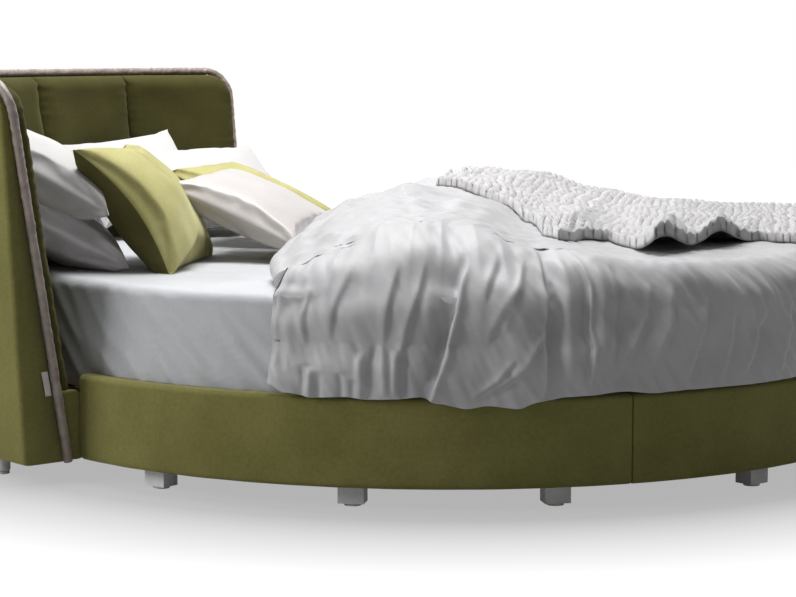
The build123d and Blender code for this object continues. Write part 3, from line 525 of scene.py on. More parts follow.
def shell_rings():
    """Outline at each angle: seam line, outer face, rounded outer edges, and the tray's hollow."""
    length = 2 * np.radians(HEAD_HALF_ANGLE) * SEAM_LOW
    fine = np.linspace(0, np.pi / 2, 26)
    near = CORNER_RADIUS * (1 - np.cos(fine))
    near = np.sort(np.concatenate([near, SHELL_EDGE_ROUND * (1 - np.cos(fine[1:10:2]))]))
    middle = np.linspace(CORNER_RADIUS, length - CORNER_RADIUS, 190)[1:-1]
    cover = [SHELL_COVER, SHELL_COVER]
    place = np.concatenate([near, middle, length - near, cover, [length - end for end in cover]])
    place = np.sort(place)
    angle = -HEAD_HALF_ANGLE + np.degrees(place / SEAM_LOW)
    edge = np.minimum(place, length - place)
    inset = end_inset(edge, SHELL_EDGE_ROUND)
    high = HEAD_TOP - corner_drop(edge)
    low = np.full_like(high, FLOOR_GAP)
    quad = np.stack([
        np.stack([seam_radius(low), low], -1), np.stack([back_radius(low) - inset, low], -1),
        np.stack([back_radius(high) - inset, high], -1), np.stack([seam_radius(high), high], -1),
    ], 1)
    width = quad[:, 2, 0] - quad[:, 3, 0]
    top_round = np.minimum(SHELL_EDGE_ROUND, SHELL_TOP_SHARE * width)
    face = rounded_outline(quad, (SEAM_ROUND, SHELL_EDGE_ROUND, top_round, SEAM_ROUND), 7)
    share = np.linspace(0, 1, 72)[1:-1, None]
    tall = face[:, 15, None] + (face[:, 16, None] - face[:, 15, None]) * share[None]
    face = np.concatenate([face[:, :16], tall, face[:, 16:]], axis=1)
    spot = np.stack(np.broadcast_arrays(place[:, None], face[..., 1]), -1)
    seam, back = seam_radius(face[..., 1]), back_radius(face[..., 1])
    outside = (face[..., 0] - seam) / (back - seam)
    face[..., 0] += np.clip(outside, 0, 1) * MM * (0.9 * ripple(spot, 0.24, 11) - 0.9)
    floor, roof = FLOOR_GAP + SHELL_COVER, high - SHELL_COVER
    count = 10
    level = floor + (roof - floor)[:, None] * np.linspace(1, 0, count)[None]
    outer = np.stack([back_radius(level) - SHELL_COVER, level], -1)
    mouth = np.stack([seam_radius(level), level], -1)
    room = np.concatenate([mouth[:, :1], outer, mouth[:, -1:]], axis=1)
    flat = floor + (roof - floor)[:, None] * np.linspace(1, 0, count + 2)[None]
    shut = np.stack([seam_radius(flat), flat], -1)
    walls = np.flatnonzero(np.isclose(place, SHELL_COVER) | np.isclose(place, length - SHELL_COVER))
    order = np.arange(len(place))
    is_open = (order >= walls[1]) & (order <= walls[-2])
    inside = np.where(is_open[:, None, None], room, shut)
    return around(angle, np.concatenate([face, inside], axis=1))


shell = swept("headboard_shell_velvet", shell_rings())
dress(shell, "headboard_shell", "velvet")

# %% [markdown]
# ## The headboard's pads
# Six padded panels line the inside. A pad swells within a hand's width of its side seams, rolls
# over at the top, and its velvet puckers where it is pulled into a seam. The swelling is a
# quarter circle in the distance from the seam, and the puckers fade with that distance.

# %% Pads
PAD_COUNT = 6
PAD_THICKNESS, PAD_SEAM_THICKNESS = 60 * MM, 26 * MM
PAD_SIDE_ROUND, PAD_JOINT_GAP = 60 * MM, 1 * MM
PAD_LOW, PAD_TOP_DROP = FLOOR_GAP + 165 * MM, 2 * MM
PAD_TOP_SHARE, PAD_LOW_SHARE = 0.8, 0.4
PUCKER, PUCKER_REACH, PUCKER_LENGTH = 2.2 * MM, 26 * MM, 34 * MM


def pad(number):
    """Thickness T(s) = seam + (full - seam) * quarter circle of s; puckers = noise(z) * exp(-s)."""
    width = 2 * HEAD_HALF_ANGLE / PAD_COUNT
    gap = np.degrees(PAD_JOINT_GAP / 2 / SEAM_LOW)
    start = -HEAD_HALF_ANGLE + number * width + gap
    arc = np.radians(width - 2 * gap) * SEAM_LOW
    place = end_places(arc, PAD_SIDE_ROUND, 6 * MM, 16)
    edge = np.minimum(place, arc - place)
    angle = start + np.degrees(place / SEAM_LOW)
    swell = np.sqrt(1 - (1 - np.clip(edge / PAD_SIDE_ROUND, 0, 1)) ** 2)
    thick = PAD_SEAM_THICKNESS + (PAD_THICKNESS - PAD_SEAM_THICKNESS) * swell
    front = np.radians(HEAD_HALF_ANGLE - np.abs(angle)) * SEAM_HIGH
    high = HEAD_TOP - PAD_TOP_DROP - corner_drop(np.maximum(front, 0.5 * MM))
    low = np.full_like(high, PAD_LOW)
    back_low, back_high = seam_radius(low) - SLACK, seam_radius(high) - SLACK
    quad = np.stack([
        np.stack([back_low, low], -1), np.stack([back_high, high], -1),
        np.stack([back_high - thick, high], -1), np.stack([back_low - thick, low], -1),
    ], 1)
    outline = rounded_outline(quad, (0, 0, thick * PAD_TOP_SHARE, thick * PAD_LOW_SHARE), 8)
    outline = filled(outline, 9 * MM)
    normal = outline_normals(outline)
    depth = seam_radius(outline[..., 1]) - SLACK - outline[..., 0]
    front_share = np.clip(depth / thick[:, None], 0, 1)
    spot = np.stack(np.broadcast_arrays(place[:, None], outline[..., 1]), -1)
    pull = np.exp(-edge / PUCKER_REACH)[:, None]
    pucker = PUCKER * pull * ripple(spot[..., 1:], PUCKER_LENGTH, 31 + number)
    soft = 1.6 * MM * ripple(spot, 0.19, 51 + number)
    top_swell = 4 * MM * np.exp(-((high[:, None] - outline[..., 1]) / (60 * MM)) ** 2)
    move = front_share * (pucker + soft + top_swell - 1.5 * MM)
    inward = np.stack([-np.ones_like(move), np.zeros_like(move)], -1)
    swell_way = np.abs(normal) * np.array([-1, 1])
    outline = outline + 0.5 * move[..., None] * (inward + swell_way)
    return swept(f"headboard_pad_{number + 1}_velvet", around(angle, outline))


APRON_END, APRON_MIDDLE, APRON_REACH = 70 * MM, 4 * MM, 60 * MM
APRON_OVER, APRON_ROUND = 3 * MM, 9 * MM


def apron():
    """Velvet below the pads: thin behind the mattress, with a stuffed roll at each wing's front."""
    arc = 2 * np.radians(HEAD_HALF_ANGLE) * SEAM_LOW + 2 * APRON_OVER
    place = end_places(arc, APRON_ROUND, 12 * MM, 12)
    edge = np.minimum(place, arc - place)
    thick = APRON_MIDDLE + (APRON_END - APRON_MIDDLE) * np.exp(-((edge / APRON_REACH) ** 2))
    thick = thick - end_inset(edge, APRON_ROUND)
    low = np.full_like(thick, FLOOR_GAP + 2 * MM)
    high = np.full_like(thick, PAD_LOW + 8 * MM)
    back_low, back_high = seam_radius(low) - SLACK, seam_radius(high) - SLACK
    quad = np.stack([
        np.stack([back_low, low], -1), np.stack([back_high, high], -1),
        np.stack([back_high - thick, high], -1), np.stack([back_low - thick, low], -1),
    ], 1)
    outline = filled(rounded_outline(quad, (0, 0, thick * 0.25, thick * 0.4), 8), 9 * MM)
    angle = -HEAD_HALF_ANGLE + np.degrees((place - APRON_OVER) / SEAM_LOW)
    return swept("headboard_apron_velvet", around(angle, outline))


piece = apron()
dress(piece, "headboard_apron", "velvet")
# The pads get the darker velvet, which is painted shade.
for number in range(PAD_COUNT):
    piece = pad(number)
    dress(piece, f"headboard_pad_{number + 1}", "velvet", PAD_VELVET_PAINTED_SHADE)

# %% [markdown]
# ## The piping
# A fat satin piping runs up one wing, round its corner, along the top and down again. Its path
# is lines and arcs. A circle is carried along it, and the satin's twist is a noise that winds
# round the cord as it runs, so the folds lie slantwise as they do on a gathered bias strip.

# %% Piping
PIPING_RADIUS = 11.2 * MM
PIPING_OFF = 10.3 * MM
PIPING_BLEND = 300 * MM
PIPING_STEP = 3.2 * MM
TWIST = 0.5


def arc_through(a, b, c, step):
    """Points on the circle through three points, about one step apart, without the last."""
    ab, ac = b - a, c - a
    normal = np.cross(ab, ac)
    pull = np.cross(normal, ab) * (ac @ ac) + np.cross(ac, normal) * (ab @ ab)
    centre = a + pull / (2 * normal @ normal)
    normal = normal / np.linalg.norm(normal)
    first = a - centre
    side = np.cross(normal, first)
    sweep = np.arctan2((c - centre) @ side, (c - centre) @ first) % (2 * np.pi)
    count = max(2, int(sweep * np.linalg.norm(first) / step))
    turn = sweep * np.arange(count)[:, None] / count
    return centre + np.cos(turn) * first + np.sin(turn) * side


def piping_line():
    """One wing's half of the path, then its mirror image: line, corner arc, blend arc, circle."""
    half = np.radians(HEAD_HALF_ANGLE)
    outward = np.array([-np.sin(half), np.cos(half), 0.0])
    inward = np.array([np.cos(half), np.sin(half), 0.0])
    rise = (SEAM_HIGH - SEAM_LOW) / (HEAD_TOP - FLOOR_GAP)
    slope = np.array([*(outward[:2] * rise), 1.0]) / np.hypot(1, rise)
    turn = CORNER_RADIUS + PIPING_OFF
    high = HEAD_TOP + PIPING_OFF
    radius = seam_radius(high)
    end = outward * radius + inward * CORNER_RADIUS + np.array([0, 0, high])
    centre = end - slope * turn
    corner = centre - inward * turn
    middle = centre + (slope - inward) * turn * np.sqrt(0.5)
    start = corner - slope * ((corner[2] - FLOOR_GAP) * np.hypot(1, rise))
    swing = np.arctan(CORNER_RADIUS / (radius - PIPING_BLEND))
    ring = np.hypot(radius - PIPING_BLEND, CORNER_RADIUS) + PIPING_BLEND
    lift = np.array([0, 0, high])
    blend_centre = outward * (radius - PIPING_BLEND) + inward * CORNER_RADIUS + lift

    def spoke(angle):
        return np.array([-np.sin(angle), np.cos(angle), 0.0])

    blend_middle = blend_centre + spoke(half - swing / 2) * PIPING_BLEND
    blend_end = spoke(half - swing) * ring + lift
    count = int(np.linalg.norm(corner - start) / PIPING_STEP)
    share = np.arange(count)[:, None] / count
    top = np.array([0, ring, high])
    left = [
        start + (corner - start) * share,
        arc_through(corner, middle, end, PIPING_STEP),
        arc_through(end, blend_middle, blend_end, PIPING_STEP),
        arc_through(blend_end, top, blend_end * np.array([-1, 1, 1]), PIPING_STEP),
    ]
    half_way = np.concatenate(left[:3])
    return np.concatenate([half_way, left[3], half_way[::-1] * np.array([-1, 1, 1])])


def tube(name, line, radius, seed, sides=28):
    """Circle carried along a line; radius varies with noise in (length + twist * turn, turn)."""
    ahead = np.gradient(line, axis=0)
    ahead /= np.linalg.norm(ahead, axis=1, keepdims=True)
    axis = np.array([0.0, 0.35, 0.0])
    out = line - axis
    out -= (out * ahead).sum(1, keepdims=True) * ahead
    out /= np.linalg.norm(out, axis=1, keepdims=True)
    side = np.cross(ahead, out)
    run = np.concatenate([[0], np.cumsum(np.linalg.norm(np.diff(line, axis=0), axis=1))])
    turn = np.linspace(0, 2 * np.pi, sides, endpoint=False)
    wound = run[:, None] + TWIST * 14 * MM * turn[None]
    around_place = np.stack(np.broadcast_arrays(wound, 6 * MM * np.cos(turn), 6 * MM * np.sin(turn)), -1)
    fold = ripple(around_place, 22 * MM, seed) + 0.5 * ripple(around_place, 9 * MM, seed + 1)
    size = radius * (1 + 0.055 * fold - 0.02)
    ring = np.cos(turn)[None, :, None] * out[:, None] + np.sin(turn)[None, :, None] * side[:, None]
    return swept(name, line[:, None] + size[..., None] * ring)


dress(tube("piping_satin", piping_line(), PIPING_RADIUS, 71), "piping", "piping_satin")

# %% [markdown]
# ## The blank tab
# A small folded tape is sewn in beside the piping, low on the left wing. It stays blank. A thin
# closed strip with a slight curl is enough.

# %% Tab
TAB_LENGTH, TAB_WIDTH, TAB_THICKNESS, TAB_LIFT = 60 * MM, 18 * MM, 1.3 * MM, 165 * MM


def tab_rings():
    """Strip on the wing's front: rows go up it, and its free side curls off by a parabola."""
    rows, columns = 30, 10
    up = np.linspace(0, TAB_LENGTH, rows)[:, None]
    out = np.linspace(0, TAB_WIDTH, columns)[None]
    height = FLOOR_GAP + TAB_LIFT + up
    radius = seam_radius(height) + PIPING_RADIUS + 1 * MM + out
    curl = 0.8 * MM + 1.8 * MM * (out / TAB_WIDTH) ** 2 * (1 + 0.5 * np.sin(up / TAB_LENGTH * 5))
    layers = []
    for lift in (0, TAB_THICKNESS):
        half = np.radians(HEAD_HALF_ANGLE)
        outward = np.array([-np.sin(half), np.cos(half), 0])
        inward = np.array([np.cos(half), np.sin(half), 0])
        sideways = -(curl + lift)
        spot = outward * radius[..., None] + inward * sideways[..., None]
        spot[..., 2] = height
        layers.append(spot)
    return np.concatenate([layers[0], layers[1][:, ::-1]], axis=1)


dress(swept("blank_tab_tape", tab_rings()), "blank_tab", "piping_satin", TAB)

# %% [markdown]
# ## The fitted sheet
# A fitted sheet is one piece of cotton stretched over the mattress, with slanting wrinkles down
# its side where the elastic gathers it. It is a surface of revolution: a profile that comes out
# from the hem, goes up the side, rounds the edge and runs to the middle of the top. The wrinkles
# are noise stretched along a slant.

# %% Fitted sheet
SHEET_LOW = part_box("fitted_sheet")[0].z
SHEET_ROUND, SHEET_TURN, SHEET_THICKNESS = 24 * MM, 40 * MM, 1.6 * MM
SHEET_DROP = SHEET_TOP - SHEET_LOW


def sheet_surface():
    """Profile (r, z) by distance along it, turned round; moved along the profile's normal."""
    turn = np.radians(np.linspace(0, FULL_TURN, 540, endpoint=False))
    hem = np.stack([np.linspace(SHEET_RADIUS - SHEET_TURN, SHEET_RADIUS, 8), np.full(8, SHEET_LOW)], -1)
    level = np.linspace(SHEET_LOW + 6 * MM, SHEET_TOP - SHEET_ROUND, 42)
    side = np.stack([np.full(42, SHEET_RADIUS), level], -1)
    bend = np.linspace(0, np.pi / 2, 9)[1:]
    edge = np.stack([
        SHEET_RADIUS - SHEET_ROUND * (1 - np.cos(bend)),
        SHEET_TOP - SHEET_ROUND * (1 - np.sin(bend)),
    ], -1)
    radii = (SHEET_RADIUS - SHEET_ROUND) * (1 - np.linspace(0, 1, 60)[1:] ** 1.3)
    top = np.stack([radii[:-1], np.full(58, SHEET_TOP)], -1)
    line = np.concatenate([hem, side, edge, top])
    radius, height = line[:, 0][:, None], line[:, 1][:, None]
    arc = turn[None] * SHEET_RADIUS
    slant = np.stack(np.broadcast_arrays(arc + 0.9 * height, 0.35 * height), -1)
    on_side = np.clip((height - SHEET_LOW) / 0.03, 0, 1) * np.clip((radius - 1.0) / 0.1, 0, 1)
    crease = ripple(slant, 0.085, 91)
    pulls = 7.5 * MM * np.sign(crease) * np.abs(crease) ** 1.4 + 1.6 * MM * ripple(slant, 0.03, 92)
    low_more = 0.35 + 0.65 * np.clip((SHEET_TOP - height) / SHEET_DROP, 0, 1)
    out = on_side * low_more * np.clip(pulls + 4.0 * MM, 0, 12 * MM)
    flat = np.stack(np.broadcast_arrays(radius * np.sin(turn), radius * np.cos(turn)), -1)
    level_top = np.clip((height - (SHEET_TOP - SHEET_ROUND)) / SHEET_ROUND, 0, 1)
    swell = level_top * 1.3 * MM * ripple(flat * np.array([1, 0.6]), 0.16, 93)
    spot_radius = radius + out * (1 - level_top)
    spot = np.stack(np.broadcast_arrays(
        -spot_radius * np.sin(turn), spot_radius * np.cos(turn), height + swell), -1)
    return spot


def add_sheet():
    """Sheet surface closed at the middle of the top by a fan, then given its thickness."""
    spot = sheet_surface()
    rows, columns = spot.shape[:2]
    middle = np.array([[0, 0, SHEET_TOP]])
    last = (rows - 1) * columns + np.arange(columns)
    fan = np.stack([last, np.roll(last, -1), np.full(columns, rows * columns)], -1)
    points = np.concatenate([spot.reshape(-1, 3), middle])
    faces = [grid_quads(rows, columns, ring=True), fan]
    if signed_volume(points, faces) < 0:
        faces = [block[:, ::-1] for block in faces]
    piece = add_mesh("fitted_sheet_cotton", points, faces, closed=False)
    wall = piece.modifiers.new("wall", "SOLIDIFY")
    wall.thickness = SHEET_THICKNESS
    wall.offset = -1
    return piece


fitted = add_sheet()
dress(fitted, "fitted_sheet", "sheet_cotton")

# %% [markdown]
# ## Pillows and cushions
# A pillow is two cloths sewn together at the rim and filled. Each starts as a crowned blank whose
# sides draw in between pointed corners. Blender's cloth simulation then blows it up with gravity
# off, and its rest lengths grow a little, so that short folds buckle in from the seam. The result
# is brought to its size and laid where the photograph shows it.

# %% Simulated blanks
BLANK_STEP = 9.5 * MM
SIM_FRAMES = 16
SIDE_PINCH = 0.05
CROWN_POWER, CROWN_SHAPE = 2.3, 0.62
CUSHION_CAP = 16 * MM
CUSHION_PRESSURE, CUSHION_BENDING = 3.0, 0.6
VELVET_GROWTH, COTTON_GROWTH = 0.018, 0.032
BORDER = 38 * MM
PLAN_SHARE = 0.97


def blank(name, length, depth, height, arch, seed):
    """Two grids that share their rim. The crown is H/2 * ((1 - |u|^p)(1 - |v|^p))^q, the sides draw
    in between the corners, and the filling makes it a little uneven."""
    columns, rows = int(length / BLANK_STEP), int(depth / BLANK_STEP)
    across = np.sin(np.linspace(-1, 1, columns)[None] * 1.35) / np.sin(1.35)
    along = np.sin(np.linspace(-1, 1, rows)[:, None] * 1.35) / np.sin(1.35)
    x = across * length / 2 * (1 - SIDE_PINCH * (1 - along**2))
    y = along * depth / 2 * (1 - SIDE_PINCH * (1 - across**2))
    crown = (1 - np.abs(across) ** CROWN_POWER) * (1 - np.abs(along) ** CROWN_POWER)
    spot = np.stack([x, y, height / 2 * crown**CROWN_SHAPE], -1)
    under = spot.copy()
    near_arch, far_arch = arch
    bent = far_arch + (near_arch - far_arch) * ((1 - across) / 2) ** 2
    bent = bent * MM * (1 - along**2)
    spot[..., 2] *= 1 + 0.05 * ripple(spot[..., :2], 0.2, seed)
    under[..., 2] *= -1 - 0.05 * ripple(spot[..., :2], 0.2, seed + 50)
    spot[..., 2] += bent
    under[..., 2] += bent
    top = np.arange(rows * columns).reshape(rows, columns)
    low = top.copy()
    low[1:-1, 1:-1] = rows * columns + np.arange((rows - 2) * (columns - 2)).reshape(rows - 2, columns - 2)
    points = np.concatenate([spot.reshape(-1, 3), under[1:-1, 1:-1].reshape(-1, 3)])
    faces = []
    for index, way in ((top, 1), (low, -1)):
        corners = [index[:-1, :-1], index[:-1, 1:], index[1:, 1:], index[1:, :-1]]
        faces.append(np.stack(corners, -1).reshape(-1, 4)[:, ::way])
    return add_mesh(name, points, faces)


def spots_of(mesh):
    """All points of a mesh as an (n, 3) array."""
    spots = np.empty(len(mesh.vertices) * 3, np.float32)
    mesh.vertices.foreach_get("co", spots)
    return spots.reshape(-1, 3).astype(float)


def blow_up(piece, pressure, bending, growth, cap, held=""):
    """Cloth with inner pressure and no gravity. The rest lengths grow a little, so that the cloth
    has to buckle; after the last frame no point may have moved further than the cap."""
    before = spots_of(piece.data)
    cloth_step = piece.modifiers.new("cloth", "CLOTH")
    settings = cloth_step.settings
    settings.quality = 5
    settings.mass = 0.2
    settings.tension_stiffness = settings.compression_stiffness = 22
    settings.shear_stiffness = 8
    settings.bending_stiffness = bending
    settings.use_pressure = True
    settings.uniform_pressure_force = pressure
    settings.effector_weights.gravity = 0
    settings.shrink_min = -growth
    settings.vertex_group_mass = held
    cloth_step.point_cache.frame_start = 1
    cloth_step.point_cache.frame_end = SIM_FRAMES
    for number in range(1, SIM_FRAMES + 1):
        bpy.context.scene.frame_set(number)
    shape = piece.evaluated_get(bpy.context.evaluated_depsgraph_get())
    after = spots_of(shape.data)
    piece.modifiers.remove(cloth_step)
    bpy.context.scene.frame_set(1)
    move = after - before
    length = np.linalg.norm(move, axis=-1, keepdims=True)
    return before + move * np.minimum(1, cap / np.maximum(length, 1e-9))


def turned(lean, turn, roll):
    """Rotation that rolls a cushion about Y, leans it back about X, then turns it about Z."""
    a, b, c = np.radians([lean, turn, roll])
    rolled = np.array([[np.cos(c), 0, np.sin(c)], [0, 1, 0], [-np.sin(c), 0, np.cos(c)]])
    leaned = np.array([[1, 0, 0], [0, np.cos(a), -np.sin(a)], [0, np.sin(a), np.cos(a)]])
    return np.array([[np.cos(b), -np.sin(b), 0], [np.sin(b), np.cos(b), 0], [0, 0, 1]]) @ leaned @ rolled


def add_cushion(node, finish_slot, size, angles, place, arch, seed):
    """Blank puffed by the simulation, brought to its size, rolled, leaned and turned, and laid at
    its place. Where it would sink into the mattress it is pressed flat."""
    length, depth, height = (part * MM for part in size)
    piece = blank(f"{node}_cover", length * PLAN_SHARE, depth * PLAN_SHARE, height, arch, seed)
    growth = VELVET_GROWTH if finish_slot == "green_velvet" else COTTON_GROWTH
    spots = spots_of(piece.data)
    spots = blow_up(piece, CUSHION_PRESSURE, CUSHION_BENDING, growth, CUSHION_CAP)
    wanted = np.array([length, depth, height + max(arch) * MM])
    spots = (spots - (spots.max(0) + spots.min(0)) / 2 * np.array([1, 1, 0])) * wanted / np.ptp(spots, axis=0)
    middle = np.empty(len(piece.data.polygons) * 3, np.float32)
    piece.data.polygons.foreach_get("center", middle)
    spots = spots @ turned(*angles).T + np.array(place) * MM
    lowest = SHEET_TOP + 1.5 * MM
    spots[:, 2] = np.where(spots[:, 2] < lowest, lowest + 0.02 * (spots[:, 2] - lowest), spots[:, 2])
    piece.data.vertices.foreach_set("co", spots.ravel())
    dress(piece, node, finish_slot)
    if node == "far_pillow_upper":
        piece.data.materials.append(GREY_SATIN)
        on_border = middle.reshape(-1, 3)[:, 0] > length * PLAN_SHARE / 2 - BORDER
        piece.data.polygons.foreach_set("material_index", on_border.astype(np.int32))
    # The lower half of a green cushion's faces gets the dark olive velvet, painted shade on its back.
    if finish_slot == "green_velvet":
        piece.data.materials.append(CUSHION_BACK_PAINTED_SHADE)
        faces = len(piece.data.polygons)
        painted_shade_back = np.arange(faces) >= faces // 2
        piece.data.polygons.foreach_set("material_index", painted_shade_back.astype(np.int32))
    piece.data.update()
    smooth = piece.modifiers.new("smooth", "SUBSURF")
    smooth.levels = smooth.render_levels = 1
    return piece


print("frames of cloth for each cushion:", SIM_FRAMES)

# %% [markdown]
# Each row below holds a cushion's slot, its length, depth and height, its lean, turn and roll,
# its centre, and how far its near and far ends arch. Lengths are millimetres, angles degrees.
# The near green cushion and the pale one stand where a fit to their outlines in the photograph
# put them, rounded to 5 mm and whole degrees. The other places were chosen one by one.

# %% The seven pillows
CUSHIONS = (
    ("near_pillow_lower", "grey_satin", (600, 380, 170), (28, 24, 0), (-464, 975, 585), (0, 0), 101),
    ("near_pillow_upper", "white_cotton", (600, 380, 190), (30, 21, 0), (-500, 995, 728), (0, 0), 102),
    ("far_pillow_lower", "white_cotton", (560, 380, 140), (38, -35, 0), (590, 800, 622), (0, 0), 103),
    ("far_pillow_upper", "white_cotton", (500, 360, 110), (42, -30, -6), (470, 1005, 660), (0, 0), 104),
    ("near_green_cushion", "green_velvet", (540, 410, 160), (53, 2, 0), (-440, 720, 630), (40, 0), 105),
    ("far_green_cushion", "green_velvet", (460, 430, 120), (24, -8, 0), (270, 580, 612), (0, 0), 106),
    ("grey_cushion", "pale_satin", (460, 400, 140), (23, -5, -2), (-160, 485, 615), (0, 0), 107),
)
for row in CUSHIONS:
    add_cushion(*row)
print("cushions:", len(CUSHIONS))

# %% [markdown]
# ## The duvet
# The duvet carries the picture: a thick cotton cover that falls over the round edge in lobes,
# splits where it was pulled, and is pushed up into a ridge near the pillows. Its surface is one
# grid. A column is an angle round the bed; its rows climb from the hem up the hanging side, over
# the shoulder, across the top to the head edge, roll under, and come back along the mattress.
# The folds are strokes: short chains of points with a height on each of their two sides. A
# positive side swells as a bell, a negative side cuts in as a cusp, and where the sides differ
# the cloth laps over itself.

# %% Strokes
def chain_distance(places, chain):
    """Signed distance to a chain of points, and how far along it, from 0 to 1."""
    chain = np.asarray(chain, float)
    lengths = np.linalg.norm(np.diff(chain, axis=0), axis=1)
    run = np.concatenate([[0], np.cumsum(lengths)]) / lengths.sum()
    best = np.full(places.shape[:-1], 1e9)
    share = np.zeros(places.shape[:-1])
    for number, length in enumerate(lengths):
        way = (chain[number + 1] - chain[number]) / length
        offset = places - chain[number]
        along = np.clip(offset @ way, 0, length)
        gap = offset - along[..., None] * way
        distance = np.linalg.norm(gap, axis=-1)
        side = np.where(way[0] * gap[..., 1] - way[1] * gap[..., 0] > 0, 1.0, -1.0)
        closer = distance < np.abs(best)
        best = np.where(closer, distance * side, best)
        share = np.where(closer, run[number] + along / lengths.sum(), share)
    return best, share


def stroke_relief(places, chain, left, right, left_width, right_width, lap=4 * MM, fade=0.22):
    """Height of one stroke: each side has its own height and width, blended over the lap."""
    distance, share = chain_distance(places, chain)
    reach = np.abs(distance)

    def side(height, width):
        bell = np.exp(-((reach / width) ** 2))
        cusp = np.exp(-np.sqrt(reach**2 + (2 * MM) ** 2) / width)
        return height * (bell if height > 0 else cusp)

    weight = 0.5 * (1 + np.tanh(distance / lap))
    taper = np.clip(share / fade, 0, 1) * np.clip((1 - share) / fade, 0, 1)
    taper = np.sin(np.clip(taper, 0, 1) * np.pi / 2)
    return taper * (weight * side(left, left_width) + (1 - weight) * side(right, right_width))


def relief(places, strokes, lap=5 * MM, fade=0.25):
    """Sum of all strokes; heights and widths are written in millimetres."""
    total = np.zeros(places.shape[:-1])
    for chain, left, right, left_width, right_width in strokes:
        total += stroke_relief(
            places, chain, left * MM, right * MM, left_width * MM, right_width * MM, lap, fade
        )
    return total


print("a stroke's height at its own middle:", stroke_relief(
    np.array([0.5, 0.0]), [(0, 0), (1, 0)], 1.0, 1.0, 0.1, 0.1).round(2))

# %% [markdown]
# The largest folds of the hanging side are drawn one by one. Each row holds a chain of angles in
# degrees and heights in metres, the heights of its two sides and their widths in millimetres.
# Most of these points were picked in the photograph, and a separate program with the fitted
# camera turned them into angles and heights. Many were then moved a little by hand.

# %% Folds of the hanging side
HANG = RAIL_RADIUS
SIDE_FOLDS = (
    ([(101.6, 0.600), (100.4, 0.534), (100.0, 0.471), (99.3, 0.417), (98.7, 0.354), (97.8, 0.305),
      (96.6, 0.230)], 15, -34, 14, 26),
    ([(110.8, 0.644), (110.5, 0.554), (110.5, 0.442), (110.1, 0.383), (110.1, 0.279),
      (109.4, 0.236)], -20, 8, 16, 12),
    ([(114.4, 0.600), (115.2, 0.517), (114.8, 0.413), (115.2, 0.368), (114.5, 0.280)], 9, -14, 10, 13),
    ([(118.2, 0.570), (118.4, 0.515), (118.5, 0.440), (117.3, 0.320)], -11, 6, 16, 12),
    ([(112.4, 0.600), (112.8, 0.500), (112.5, 0.400), (112.3, 0.290)], 9, 9, 16, 16),
    ([(116.6, 0.580), (116.9, 0.480), (116.4, 0.360)], 6, 6, 14, 14),
    ([(79.9, 0.558), (79.7, 0.481), (79.6, 0.445), (79.8, 0.322), (81.2, 0.270)], 8, 8, 12, 12),
    ([(82.9, 0.335), (83.2, 0.300), (83.2, 0.250)], -11, -9, 9, 9),
    ([(84.9, 0.320), (85.0, 0.290), (85.0, 0.250)], -10, -8, 8, 8),
    ([(87.4, 0.320), (87.5, 0.290), (87.5, 0.250)], -11, -9, 8, 8),
    ([(88.9, 0.305), (88.8, 0.280), (88.8, 0.250)], -8, -8, 7, 7),
    ([(91.1, 0.385), (90.8, 0.330), (90.5, 0.250)], -14, -10, 10, 9),
    ([(94.7, 0.370), (94.4, 0.320), (94.2, 0.250)], -13, -10, 10, 9),
    ([(84.0, 0.330), (84.0, 0.255)], 6, 6, 10, 10),
    ([(89.7, 0.370), (89.7, 0.255)], 8, 8, 10, 10),
    ([(91.9, 0.390), (92.5, 0.265)], 9, 9, 10, 10),
    ([(93.5, 0.375), (93.5, 0.265)], 8, 8, 9, 9),
    ([(96.8, 0.590), (96.1, 0.507), (94.9, 0.417), (94.0, 0.340)], -8, 6, 16, 18),
    ([(93.6, 0.575), (92.7, 0.470), (92.3, 0.380)], -7, 5, 16, 20),
    ([(88.0, 0.560), (86.6, 0.470), (86.2, 0.390)], -5, 4, 20, 22),
    ([(83.5, 0.520), (82.9, 0.440), (83.4, 0.370)], -5, 4, 18, 18),
    ([(108.7, 0.600), (107.2, 0.506), (105.3, 0.453), (103.4, 0.380)], -9, 6, 15, 18),
    ([(108.3, 0.560), (106.2, 0.466), (104.7, 0.405)], 6, 6, 10, 12),
    ([(109.9, 0.400), (107.7, 0.326), (103.0, 0.262)], -10, 6, 14, 16),
    ([(100.9, 0.430), (99.2, 0.370)], -7, 4, 9, 10),
    ([(105.5, 0.605), (104.0, 0.530), (103.2, 0.480)], -7, 5, 14, 16),
    ([(106.6, 0.350), (104.6, 0.300), (101.8, 0.258)], -7, 5, 10, 12),
    ([(122.8, 0.520), (122.2, 0.437), (120.1, 0.364), (117.2, 0.280)], -9, 6, 16, 18),
    ([(125.6, 0.510), (124.9, 0.412), (122.3, 0.315)], -8, 6, 16, 18),
    ([(130.4, 0.470), (128.0, 0.347), (126.1, 0.280)], -8, 6, 17, 18),
    ([(133.9, 0.460), (133.0, 0.363), (131.2, 0.275)], -6, 5, 16, 18),
    ([(138.6, 0.430), (136.8, 0.349), (134.1, 0.285)], -7, 5, 17, 18),
    ([(143.5, 0.450), (142.2, 0.360), (140.0, 0.280)], -6, 5, 17, 18),
)
print("side folds:", len(SIDE_FOLDS))


def random_folds(first, last, count, seed):
    """More hanging folds beyond the ones above: slanting chains at seeded random places."""
    draw = np.random.default_rng(seed)
    made = []
    for angle in np.linspace(first, last, count) + draw.uniform(-1.5, 1.5, count):
        top, low = draw.uniform(0.47, 0.60), draw.uniform(0.24, 0.34)
        slant, bow = draw.uniform(-3.5, 3.5), draw.uniform(-0.8, 0.8)
        chain = [(angle + slant / 2, top), (angle + bow, (top + low) / 2), (angle - slant / 2, low)]
        deep = draw.uniform(7, 18)
        rise = deep * draw.uniform(-0.5, 0.7)
        made.append((chain, -deep, rise, draw.uniform(13, 22), draw.uniform(13, 20)))
    return made


